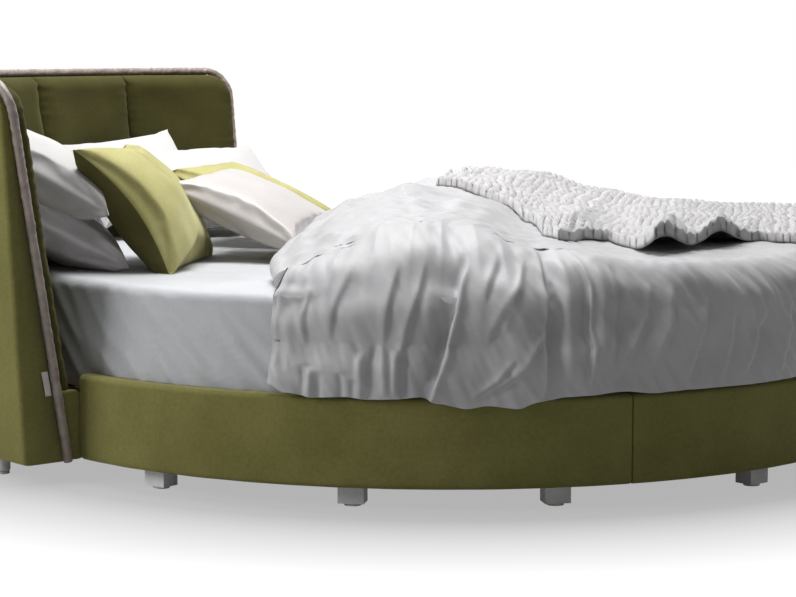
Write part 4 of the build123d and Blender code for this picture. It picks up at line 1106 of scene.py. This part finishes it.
# %% [markdown]
# The top's folds are chains of x and y in metres. The height of the top is a rise by distance from
# the head edge, times a crest factor across the bed, and the throw asks for the same height.

# %% Folds and height of the top
TOP_FOLDS = (
    ([(-0.92, 0.235), (-0.62, 0.200), (-0.38, 0.160), (-0.30, 0.090), (-0.52, 0.020), (-0.80, -0.050),
      (-1.08, -0.120)], 24, -30, 40, 20),
    ([(-0.80, 0.205), (-0.50, 0.175), (-0.20, 0.165)], -16, -10, 16, 14),
    ([(-0.95, 0.150), (-0.60, 0.120), (-0.30, 0.080)], -14, 9, 18, 22),
    ([(-0.95, 0.020), (-0.62, -0.020), (-0.30, -0.010)], -9, 12, 22, 30),
    ([(-0.98, -0.090), (-0.70, -0.120), (-0.40, -0.090), (-0.15, -0.110)], -14, 20, 20, 34),
    ([(-0.98, -0.200), (-0.60, -0.180), (-0.20, -0.190)], -18, 16, 22, 34),
    ([(-1.05, -0.300), (-0.80, -0.290), (-0.62, -0.330)], -10, 8, 18, 26),
    ([(-0.60, 0.060), (-0.10, 0.080), (0.30, 0.060)], -8, 10, 22, 30),
    ([(0.10, 0.160), (0.45, 0.120), (0.80, 0.130)], -12, 12, 22, 30),
    ([(0.25, 0.000), (0.60, -0.060), (0.95, -0.020)], -10, 12, 24, 32),
    ([(0.40, 0.210), (0.70, 0.180), (0.95, 0.140)], -9, 9, 20, 26),
)


TOP_LAP, TOP_FADE = 15 * MM, 0.4


def smooth_table(values, at, places):
    """Values of a table at places, eased between its entries by a smooth step."""
    at, values = np.asarray(at, float), np.asarray(values, float)
    spot = np.clip(np.searchsorted(at, places) - 1, 0, len(at) - 2)
    share = np.clip((places - at[spot]) / (at[spot + 1] - at[spot]), 0, 1)
    share = share * share * (3 - 2 * share)
    return values[spot] * (1 - share) + values[spot + 1] * share


EDGE_X = (-1.142, -1.0, -0.78, -0.42, 0.0, 0.42, 0.78, 1.0, 1.142)
EDGE_Y = (0.215, 0.240, 0.272, 0.300, 0.318, 0.318, 0.285, 0.240, 0.215)
RISE_AT = (0.0, 0.05, 0.13, 0.26, 0.42, 0.62, 0.85, 1.10, 1.40)
RISE = (0.085, 0.128, 0.168, 0.198, 0.176, 0.112, 0.080, 0.068, 0.062)
CREST_X = (-1.15, -1.02, -0.88, -0.72, -0.45, 0.0, 0.45, 0.9, 1.15)
CREST = (0.25, 0.42, 0.76, 0.96, 1.00, 0.94, 0.86, 0.74, 0.5)


def top_height(x, y):
    """Height of the duvet over the sheet: rise by distance behind the head edge, times a crest
    factor across the bed, plus the strokes of the top and broad noise."""
    edge = smooth_table(EDGE_Y, EDGE_X, x)
    rise = smooth_table(RISE, RISE_AT, edge - y)
    crest = smooth_table(CREST, CREST_X, x)
    fade = np.clip((edge - y) / 0.6, 0, 1)
    factor = crest * (1 - fade) + np.maximum(crest, 0.95) * fade
    spot = np.stack([x, y], -1)
    folds = 0.32 * relief(spot, TOP_FOLDS, TOP_LAP, TOP_FADE)
    lively = np.clip(1.2 - (edge - y) / 0.9, 0.25, 1)
    soft = 9 * MM * ripple(spot * np.array([0.6, 1.0]), 0.23, 201) * lively
    crumple = 4.0 * MM * np.abs(ripple(spot * np.array([0.7, 1.0]), 0.085, 202)) * lively
    return SHEET_TOP + rise * factor + folds + soft - crumple


print("top folds:", len(TOP_FOLDS))

# %% [markdown]
# Tables by angle give the hem, how far the side stands out, and how far the shoulder reaches in.
# The drawn folds are pushed along the normals, a coarse cloth simulation puffs the skin, and what
# it moved is carried over to the fine grid. Hanging cloth is kept clear of sheet and ring. The
# hem's table and the line of the throw's near edge come from points picked in the photograph and
# turned into places in the same way, then filled in or changed.

# %% The duvet's grid
THROW_NEAR_Y = (-1.00, -0.95, -0.87, -0.80, -0.70, -0.63, -0.56, -0.50, -0.44, -0.40, -0.36, -0.30, -0.20,
                -0.10, 0.05)
THROW_NEAR_X = (-0.28, -0.26, -0.22, -0.41, -0.62, -0.80, -0.66, -0.54, -0.58, -0.78, -0.66, -0.44, -0.17,
                -0.02, 0.16)
DUVET_GROWTH, DUVET_PRESSURE, DUVET_BENDING = 0.02, 2.5, 1.5
DUVET_CAP = 15 * MM
START_ANGLE = 79.3
NEAR_END, NEAR_SHARE = 150.0, 0.56
COLUMNS, SIDE_ROWS, BEND_ROWS, TOP_ROWS = 721, 81, 28, 96
ROLL_ROWS, UNDER_ROWS, INNER_ROWS = 12, 10, 6
END_STEPS, END_REACH, ROLL_FADE = 7, 10 * MM, 60
HEM_ANGLE = (79.3, 81.4, 84.6, 87.9, 90.5, 93.6, 96.2, 98.1, 101.1, 103.4, 106.6, 109.3, 112.0, 114.5,
             118.5, 122.5, 126.7, 135.0, 143.7, 160.0, 180.0)
HEM_HEIGHT = (0.285, 0.269, 0.260, 0.263, 0.258, 0.261, 0.266, 0.251, 0.239, 0.245, 0.238, 0.254, 0.262,
              0.264, 0.270, 0.262, 0.265, 0.264, 0.267, 0.262, 0.266)
OUT_ANGLE = (79.3, 81.5, 86.0, 92.0, 96.5, 98.9, 100.8, 103.0, 106.5, 109.6, 111.0, 112.7, 114.7, 116.5,
             118.2, 121.0, 128.0, 136.0, 146.0, 157.0, 168.5, 180.0)
OUT = (16, 36, 50, 54, 52, 44, 50, 58, 60, 54, 44, 46, 42, 46, 42, 46, 50, 46, 50, 42, 50, 44)
REACH_ANGLE = (79.3, 83.0, 90.0, 100.0, 110.0, 118.0, 126.0, 150.0, 180.0)
REACH = (0.09, 0.16, 0.25, 0.27, 0.20, 0.11, 0.09, 0.09, 0.10)
TURN_ANGLE = (79.3, 90.0, 100.0, 110.0, 120.0, 180.0)
TURN_HEIGHT = (0.38, 0.385, 0.385, 0.42, 0.455, 0.455)


def mirrored(angles, values):
    """A table given for the left half, carried on to the right half."""
    back = [FULL_TURN - angle for angle in angles[-2::-1]]
    return list(angles) + back, list(values) + list(values[-2::-1])


def by_angle(angles, values, angle):
    """Values of a left-half table at any angle round the bed."""
    at, full = mirrored(angles, values)
    return smooth_table(full, at, angle)


def duvet_angles():
    """Angles of the columns: more than half of them lie on the side that the camera sees."""
    near = int(COLUMNS * NEAR_SHARE)
    first = np.linspace(START_ANGLE, NEAR_END, near, endpoint=False)
    return np.concatenate([first, np.linspace(NEAR_END, FULL_TURN - START_ANGLE, COLUMNS - near)])[:, None]


def duvet_base(angle):
    """Smooth skin without folds: side, superellipse shoulder and top, from hem to head edge."""
    hem = by_angle(HEM_ANGLE, HEM_HEIGHT, angle)
    out = by_angle(OUT_ANGLE, OUT, angle) * MM
    bend_low = by_angle(TURN_ANGLE, TURN_HEIGHT, angle)
    reach = by_angle(REACH_ANGLE, REACH, angle)
    climb = np.linspace(0, 1, SIDE_ROWS)[None]
    side_z = hem + (bend_low - hem) * climb
    belly = 0.80 + 0.24 * np.sin(np.pi * np.clip(climb, 0, 1) ** 0.8)
    tuck = 10 * MM * np.clip(1 - (side_z - hem) / (14 * MM), 0, 1) ** 2
    side_r = SHEET_RADIUS + out * belly - tuck
    near_ring = np.clip((RAIL_TOP + 140 * MM - side_z) / (140 * MM), 0, 1)
    near_ring = near_ring * near_ring * (3 - 2 * near_ring)
    side_r = side_r + np.maximum(RAIL_RADIUS + 15 * MM - side_r, 0) * near_ring
    last = side_r[:, -1:]
    turn = np.radians(angle)
    rim_r = last - reach
    rim_x, rim_y = -rim_r * np.sin(turn), rim_r * np.cos(turn)
    rim_z = top_height(rim_x, rim_y)
    bend = np.linspace(0, np.pi / 2, BEND_ROWS + 1)[None, 1:]
    bend_r = last - reach * (1 - np.cos(bend) ** 1.1)
    bend_z = bend_low + (rim_z - bend_low) * np.sin(bend) ** 1.1
    share = (angle - START_ANGLE) / (FULL_TURN - 2 * START_ANGLE) * 2 - 1
    edge_x = -rim_x[0, 0] * np.sin(share * np.pi / 2)
    edge_y = smooth_table(EDGE_Y, EDGE_X, edge_x)
    edge_y = edge_y + (rim_y[0, 0] - edge_y[0, 0]) * np.abs(share) ** 6
    across = np.linspace(0, 1, TOP_ROWS + 1)[None, 1:]
    top_x = rim_x + (edge_x - rim_x) * across
    top_y = rim_y + (edge_y - rim_y) * across
    top = np.stack([top_x, top_y, top_height(top_x, top_y)], -1)
    ring_r = np.concatenate([side_r, bend_r], axis=1)
    ring_z = np.concatenate([side_z, bend_z], axis=1)
    ring = np.stack([-ring_r * np.sin(turn), ring_r * np.cos(turn), ring_z], -1)
    return np.concatenate([ring, top], axis=1)


def duvet_line(skin):
    """Closed line of each column: the skin, a rolled head edge, the underside and the inner side."""
    turn = np.arctan2(-skin[:, :1, 0], skin[:, :1, 1])
    edge = skin[:, -1]
    lip = (edge[:, 2:3] - SHEET_TOP - 1 * MM) / 2
    roll = np.linspace(0, np.pi, ROLL_ROWS + 1)[None, 1:]
    order = np.arange(len(edge))
    from_end = np.clip(np.minimum(order, order[::-1]) / ROLL_FADE, 0, 1)[:, None]
    roll_y = edge[:, 1:2] + np.sin(roll) * np.minimum(lip, 34 * MM) * from_end
    roll_z = SHEET_TOP + 1 * MM + lip * (1 + np.cos(roll))
    start = skin[:, SIDE_ROWS + BEND_ROWS - 1]
    back = np.linspace(0, 1, UNDER_ROWS + 1)[None, 1:]
    under_x = edge[:, :1] + (start[:, :1] - edge[:, :1]) * back
    under_y = edge[:, 1:2] + (start[:, 1:2] - edge[:, 1:2]) * back
    down = np.linspace(0, 1, INNER_ROWS)[None]
    hem = skin[:, :1, 2]
    hem_r = np.hypot(skin[:, :1, 0], skin[:, :1, 1])
    inner = SHEET_RADIUS + 3.5 * MM
    inner_z = SHEET_TOP + 1 * MM + (hem + 3 * MM - SHEET_TOP) * down
    inner_r = inner + np.where(down > 0.9, np.maximum(hem_r - inner - 14 * MM, 0), 0)

    def flat(x, y, z):
        return np.stack(np.broadcast_arrays(x, y, z), -1)

    line = np.concatenate([
        skin, flat(edge[:, :1], roll_y, roll_z), flat(under_x, under_y, SHEET_TOP + 1 * MM),
        flat(-inner_r * np.sin(turn), inner_r * np.cos(turn), inner_z),
    ], axis=1)
    return np.concatenate([closing(line[0], -1)[::-1], line, closing(line[-1], 1)])


def closing(line, way):
    """Columns that round off a side hem: the skin sinks to its own underside as a quarter circle,
    while the column moves on round the bed."""
    count = SIDE_ROWS + BEND_ROWS + TOP_ROWS
    back = line.copy()
    radius = np.hypot(back[:, 0], back[:, 1])
    shrink = np.minimum(1, (SHEET_RADIUS + 4 * MM) / radius)
    back[:count, :2] *= shrink[:count, None]
    back[:count, 2] = np.minimum(back[:count, 2], SHEET_TOP + 1 * MM)
    made = []
    for step in np.linspace(0, np.pi / 2, END_STEPS + 1)[1:]:
        ring = back + (line - back) * np.cos(step)
        turn = way * np.sin(step) * END_REACH / RAIL_RADIUS
        x, y = ring[:, 0].copy(), ring[:, 1].copy()
        ring[:, 0] = x * np.cos(turn) - y * np.sin(turn)
        ring[:, 1] = x * np.sin(turn) + y * np.cos(turn)
        made.append(ring)
    return np.stack(made)


def skin_normals(skin):
    """Outward unit normals of the skin, from the differences along its columns and rows."""
    normal = np.cross(np.gradient(skin, axis=0), np.gradient(skin, axis=1))
    normal /= np.maximum(np.linalg.norm(normal, axis=-1, keepdims=True), 1e-12)
    outward = (normal[..., :2] * skin[..., :2]).sum(-1)[:, :SIDE_ROWS].mean()
    return normal * np.sign(outward)


def kept_outside(skin):
    """Hanging cloth stays clear of the sheet and of the ring, and the top clear of the sheet."""
    radius = np.hypot(skin[..., 0], skin[..., 1])
    near_ring = np.clip((RAIL_TOP + 140 * MM - skin[..., 2]) / (134 * MM), 0, 1)
    near_ring = near_ring * near_ring * (3 - 2 * near_ring)
    low = SHEET_RADIUS + 5 * MM + (RAIL_RADIUS + 2.5 * MM - SHEET_RADIUS - 5 * MM) * near_ring
    rows = np.arange(skin.shape[1])[None]
    under_top = np.clip((SHEET_TOP + 20 * MM - skin[..., 2]) / (40 * MM), 0, 1)
    grow = 1 + np.where(rows < SIDE_ROWS + BEND_ROWS, np.maximum(low / radius - 1, 0) * under_top, 0)
    skin = skin * np.stack([grow, grow, np.ones_like(grow)], -1)
    floor = np.where(rows >= SIDE_ROWS + BEND_ROWS, SHEET_TOP + 12 * MM, 0)
    skin[..., 2] = np.maximum(skin[..., 2], floor)
    return skin


def duvet_relief(angle, skin):
    """Folds of the hanging side by (arc, height) and of the top by (x, y), blended over the
    shoulder, where the height counts on over the bend."""
    radius = np.hypot(skin[..., 0], skin[..., 1])
    last = radius[:, SIDE_ROWS - 1:SIDE_ROWS]
    inward = np.clip(last - radius, 0, 1)
    height = skin[..., 2] + 0.3 * np.where(np.arange(skin.shape[1]) >= SIDE_ROWS, inward, 0)
    spot = np.stack(np.broadcast_arrays(np.radians(angle) * HANG, height), -1)
    folds = list(SIDE_FOLDS) + random_folds(148, 278, 26, 221)
    chains = [([(np.radians(a) * HANG, z) for a, z in chain], *rest) for chain, *rest in folds]
    rows = SIDE_ROWS + BEND_ROWS + TOP_ROWS // 3
    side = np.zeros(height.shape)
    side[:, :rows] = relief(spot[:, :rows], chains)
    is_top = np.clip((np.arange(skin.shape[1]) - SIDE_ROWS) / BEND_ROWS, 0, 1)[None] ** 1.5
    fade = np.clip(1 - inward / 0.34, 0, 1)
    slanted = np.stack([spot[..., 0] + 0.45 * spot[..., 1], 0.35 * spot[..., 1]], -1)
    wrinkle = 1.5 * MM * ripple(slanted, 0.07, 211) + 0.7 * MM * ripple(slanted, 0.03, 212)
    wrinkle += 4.5 * MM * ripple(spot, 0.2, 213)
    crumple = 1.2 * MM * ripple(skin[..., :2] * np.array([0.7, 1.0]), 0.06, 202)
    return side * fade + wrinkle * (1 - is_top) + crumple * is_top


def pressed(name, closed_line, pinned_from):
    """Cloth simulation of a closed line: rest lengths grow a little, so the skin buckles into
    folds of its own; the underside is pinned, and no point moves further than the cap."""
    piece = swept(name, closed_line)
    count, size = closed_line.shape[:2]
    group = piece.vertex_groups.new(name="held")
    held = np.arange(count * size).reshape(count, size)[:, pinned_from:].ravel()
    group.add([int(number) for number in held], 1.0, "REPLACE")
    low = np.arange(count * size).reshape(count, size)[:, :2].ravel()
    group.add([int(number) for number in low], 0.6, "REPLACE")
    spots = blow_up(piece, DUVET_PRESSURE, DUVET_BENDING, DUVET_GROWTH, DUVET_CAP, "held")
    spots = spots.reshape(count, size, 3)
    bpy.data.objects.remove(piece)
    return spots - closed_line


def between(move):
    """A coarse grid of moves carried to the grid that has a point more between neighbours."""
    for axis in (0, 1):
        shape = list(move.shape)
        shape[axis] = 2 * shape[axis] - 1
        fine = np.empty(shape)
        cut = [slice(None)] * 3
        cut[axis] = slice(0, None, 2)
        fine[tuple(cut)] = move
        cut[axis] = slice(1, None, 2)
        first, last = [slice(None)] * 3, [slice(None)] * 3
        first[axis], last[axis] = slice(None, -1), slice(1, None)
        fine[tuple(cut)] = (move[tuple(first)] + move[tuple(last)]) / 2
        move = fine
    return move


def duvet_rings():
    """Base, simulated puff and buckles, then the drawn folds along the normals."""
    angle = duvet_angles()
    skin = duvet_base(angle)
    relief_all = duvet_relief(angle, skin)
    formed = kept_outside(skin + 0.75 * relief_all[..., None] * skin_normals(skin))
    rows = formed.shape[1]
    coarse = formed[::2, : rows - (rows + 1) % 2 : 2]
    line = duvet_line_coarse(coarse)
    move = pressed("duvet_form", line, coarse.shape[1])
    move = between(move[:, : coarse.shape[1]])
    inward = np.arange(move.shape[1])[None] - (SIDE_ROWS + BEND_ROWS)
    calm = 1 - 0.75 * np.clip(inward / 20, 0, 1)
    under_wool = np.clip((0.06 - formed[:, : move.shape[1], 1]) / 0.12, 0, 1) * (inward > -8)
    near = np.interp(-formed[:, : move.shape[1], 1], [-y for y in THROW_NEAR_Y[::-1]], THROW_NEAR_X[::-1])
    under_wool = under_wool * np.clip((formed[:, : move.shape[1], 0] - near + 0.05) / 0.06, 0, 1)
    formed[:, : move.shape[1]] += move * (calm * (1 - 0.92 * under_wool))[..., None]
    formed = formed + 0.35 * relief_all[..., None] * skin_normals(formed)
    return duvet_line(kept_outside(formed))


def duvet_line_coarse(coarse):
    """Closed line for the simulation: the skin, and a plain back a hand's breadth inside it."""
    inner = coarse[:, ::-1].copy()
    radius = np.hypot(inner[..., 0], inner[..., 1])
    beside = inner[..., 2] < SHEET_TOP
    shrink = np.where(beside, SHEET_RADIUS + 2 * MM, radius - 30 * MM) / radius
    inner[..., 0] *= shrink
    inner[..., 1] *= shrink
    inner[..., 2] = np.minimum(inner[..., 2], SHEET_TOP + 2 * MM)
    return np.concatenate([coarse, inner[:, ::4]], axis=1)


duvet = swept("duvet_cover", duvet_rings())
dress(duvet, "duvet", "duvet_cotton")

# %% [markdown]
# ## The knitted throw
# A chunky throw lies across the foot half, over the duvet. Its stitches are plaits of thick wool:
# across a column of stitches two strands lean together like the two sides of a V. The height of
# the wool is worked out from the two counts of the knit, columns and rows, and added to the
# duvet's own height, so the throw follows what it lies on. Its near hem is a row of knobs.

# %% Throw
STITCH_WIDTH, STITCH_LENGTH, STITCH_HEIGHT = 42 * MM, 31 * MM, 19 * MM
THROW_THICKNESS = 9 * MM
THROW_FAR, THROW_HEAD, THROW_FOOT = 0.90, 0.04, -1.00


def knit(across, along):
    """Height of the stitches: two leaning strands in each column, round in section."""
    column = across / STITCH_WIDTH
    lean = np.abs((column % 1.0) - 0.5) * 2
    strand = (along / STITCH_LENGTH + 0.9 * lean) % 1.0
    round_strand = np.sqrt(np.clip(1 - (2 * strand - 1) ** 2, 0, 1))
    groove = np.clip(np.minimum(lean, 1 - lean) * 6, 0, 1)
    return STITCH_HEIGHT * (0.35 + 0.65 * round_strand) * (0.45 + 0.55 * groove)


THROW_LUMPS = (
    ([(-1.00, -0.640), (-0.72, -0.650), (-0.40, -0.650)], 52, 52, 44, 44),
    ([(-0.80, -0.765), (-0.52, -0.775), (-0.20, -0.760)], 50, 50, 44, 44),
    ([(-0.60, -0.440), (-0.30, -0.400), (0.10, -0.380)], 14, 14, 40, 40),
    ([(-0.30, -0.560), (0.10, -0.560), (0.50, -0.520)], 14, 10, 50, 50),
    ([(-0.20, -0.840), (0.20, -0.860), (0.60, -0.840)], 10, 10, 40, 40),
)


def throw_rings():
    """Rows run across the bed from the near hem to the far side; the line closes underneath."""
    along = np.linspace(THROW_HEAD, THROW_FOOT, 236)[:, None]
    near = np.interp(-along, [-y for y in THROW_NEAR_Y[::-1]], THROW_NEAR_X[::-1])
    share = np.linspace(0, 1, 330)[None]
    x = near + (THROW_FAR - near) * share
    y = along + 0 * x
    base = top_height(x, y) + 3 * MM + relief(np.stack([x, y], -1), THROW_LUMPS)
    run = (x - near)
    wool = knit(y + 8 * MM * ripple(np.stack([x, y], -1), 0.3, 231), run)
    knob = 7 * MM * np.exp(-((run / (13 * MM)) ** 2)) * (0.6 + 0.6 * np.cos(2 * np.pi * y / (16 * MM)))
    edge = np.minimum.reduce([run, THROW_FAR - x, THROW_HEAD - y, y - THROW_FOOT])
    edge_round = np.sqrt(np.clip(1 - (1 - np.clip(edge / (14 * MM), 0, 1)) ** 2, 0, 1))
    cloth_part = THROW_THICKNESS * (0.1 + 0.9 * edge_round)
    top = base + cloth_part + wool * (0.3 + 0.7 * edge_round) + knob * edge_round
    under_share = np.linspace(1, 0, 40)[None]
    under_x = near + (THROW_FAR - near) * under_share
    under_y = along + 0 * under_x
    lumps = relief(np.stack([under_x, under_y], -1), THROW_LUMPS)
    under = top_height(under_x, under_y) + 2 * MM + 0.8 * lumps
    upper = np.stack([x, y, top], -1)
    lower = np.stack([under_x, under_y, under], -1)
    # The wool's depth drives the painted shade in the grooves; the underside gets a middle value.
    depth = np.concatenate([wool / STITCH_HEIGHT, np.full_like(under, 0.5)], axis=1)
    return np.concatenate([upper, lower], axis=1), depth


throw_line, throw_groove_shade = throw_rings()
throw = swept("knit_throw_wool", throw_line)
# The depth is stored on the throw for the painted shade in its grooves.
depth = throw.data.attributes.new("wool_groove_shade", "FLOAT", "POINT")
depth.data.foreach_set("value", throw_groove_shade.ravel().astype(np.float32))
dress(throw, "knit_throw", "knit_wool")

# %% [markdown]
# ## Light, floor and camera
# The photograph is a plain studio shot: a soft light from the head side, a stronger one from
# above, a white backdrop and a pale floor. The floor's glow grows with the distance from the
# bed, so how far its shadow reaches is set here. The camera stands at the bed's left
# side, low, and looks slightly towards the head.

# %% Floor and backdrop
FLOOR_REACH = 14.0
# FLOOR_GLOW is the glow near the bed; kept low there, it paints a shadow under and round the bed.
FLOOR_GLOW, FLOOR_SEEN, FLOOR_BOUNCE = 0.45, 0.09, 0.45
floor_mesh = bpy.data.meshes.new("studio_floor")
corners = [(x * FLOOR_REACH, y * FLOOR_REACH, 0) for x, y in ((-1, -1), (1, -1), (1, 1), (-1, 1))]
floor_mesh.from_pydata(corners, [], [(0, 1, 2, 3)])
floor = bpy.data.objects.new("studio_floor", floor_mesh)
bpy.context.scene.collection.objects.link(floor)


def seen_directly(tree):
    """1 for camera, glossy and transmission rays, 0 for the rays that light the object."""
    path = tree.nodes.new("ShaderNodeLightPath")
    total = path.outputs["Is Camera Ray"]
    for name in ("Is Glossy Ray", "Is Transmission Ray"):
        both = node_of(tree, "ShaderNodeMath", operation="MAXIMUM")
        tree.links.new(total, both.inputs[0])
        tree.links.new(path.outputs[name], both.inputs[1])
        total = both.outputs[0]
    return total


def floor_finish():
    """White floor: plain paint for the light, with a glow added only for what looks at it. The glow is weaker
    near the bed, which paints a shadow round it.
    """
    finish, tree, shader, place = new_finish("floor_paint", 0.9, Specular_IOR_Level=0.0)
    tone = ramp_of(tree, noise_of(tree, place, 1.2), 0.3, 0.7, (0.97, 0.97, 0.97), (1, 1, 1))
    seen = seen_directly(tree)
    share = tree.nodes.new("ShaderNodeMapRange")
    share.inputs["To Min"].default_value = FLOOR_BOUNCE
    share.inputs["To Max"].default_value = FLOOR_SEEN
    tree.links.new(seen, share.inputs["Value"])
    paint = tree.nodes.new("ShaderNodeVectorMath")
    paint.operation = "SCALE"
    tree.links.new(tone, paint.inputs[0])
    tree.links.new(share.outputs["Result"], paint.inputs["Scale"])
    tree.links.new(paint.outputs[0], shader.inputs["Base Color"])
    glow = node_of(tree, "ShaderNodeEmission", Color=(1, 1, 1, 1))
    scale = node_of(tree, "ShaderNodeMath", operation="MULTIPLY")
    away = node_of(tree, "ShaderNodeVectorMath", operation="LENGTH")
    tree.links.new(place, away.inputs[0])
    # Painted shadow: the glow stays at FLOOR_GLOW within 1.30 m of the bed's middle and rises to full white
    # by 1.95 m.
    painted_shadow_glow = tree.nodes.new("ShaderNodeMapRange")
    for socket, value in (("From Min", 1.30), ("From Max", 1.95), ("To Min", FLOOR_GLOW), ("To Max", 1.0)):
        painted_shadow_glow.inputs[socket].default_value = value
    tree.links.new(away.outputs["Value"], painted_shadow_glow.inputs["Value"])
    tree.links.new(painted_shadow_glow.outputs["Result"], scale.inputs[1])
    tree.links.new(seen, scale.inputs[0])
    tree.links.new(scale.outputs[0], glow.inputs["Strength"])
    both = tree.nodes.new("ShaderNodeAddShader")
    tree.links.new(shader.outputs[0], both.inputs[0])
    tree.links.new(glow.outputs[0], both.inputs[1])
    tree.links.new(both.outputs[0], tree.nodes["Material Output"].inputs["Surface"])
    return finish


floor_mesh.materials.append(floor_finish())

world = bpy.data.worlds.new("studio")
bpy.context.scene.world = world
world.use_nodes = True
AMBIENT = 0.175
back = world.node_tree.nodes["Background"]
back.inputs["Color"].default_value = (1, 1, 1, 1)
level = node_of(world.node_tree, "ShaderNodeMapRange")
level.inputs["To Min"].default_value = AMBIENT
level.inputs["To Max"].default_value = 1.0
world.node_tree.links.new(seen_directly(world.node_tree), level.inputs["Value"])
world.node_tree.links.new(level.outputs["Result"], back.inputs["Strength"])
print("light of the room:", AMBIENT)


# %% [markdown]
# One softbox stands behind the head on the camera's side, and one hangs over the bed.

# %% Lights
def softbox(name, place, target, size, power):
    """A square area lamp that looks at a point."""
    lamp = bpy.data.lights.new(name, "AREA")
    lamp.shape = "SQUARE"
    lamp.size = size
    lamp.energy = power
    box = bpy.data.objects.new(name, lamp)
    box.location = place
    box.rotation_euler = (Vector(target) - Vector(place)).to_track_quat("-Z", "Y").to_euler()
    bpy.context.scene.collection.objects.link(box)
    return box


softbox("key", (-3.0, 4.4, 2.7), (-0.4, 0.0, 0.4), 2.2, 140)
softbox("overhead", (0.2, 0.5, 3.8), (0.0, 0.0, 0.4), 2.4, 208)
print("lamps:", len(bpy.data.lights))

# %% [markdown]
# The camera's place, direction and lens were fitted to the ring's curved edges in the photograph
# by a separate program.

# %% Camera
CAMERA_PLACE = (-6.36058, -0.95103, 1.05286)
CAMERA_WAY = (0.98035, 0.16565, -0.10711)
LENS, SENSOR = 105.70, 36.0
camera = bpy.data.objects.new("camera", bpy.data.cameras.new("camera"))
camera.data.lens = LENS
camera.data.sensor_width = SENSOR
camera.location = CAMERA_PLACE
camera.rotation_euler = Vector(CAMERA_WAY).to_track_quat("-Z", "Y").to_euler()
bpy.context.scene.collection.objects.link(camera)
bpy.context.scene.camera = camera
bpy.context.scene.view_settings.view_transform = "Standard"
print("camera at", CAMERA_PLACE)
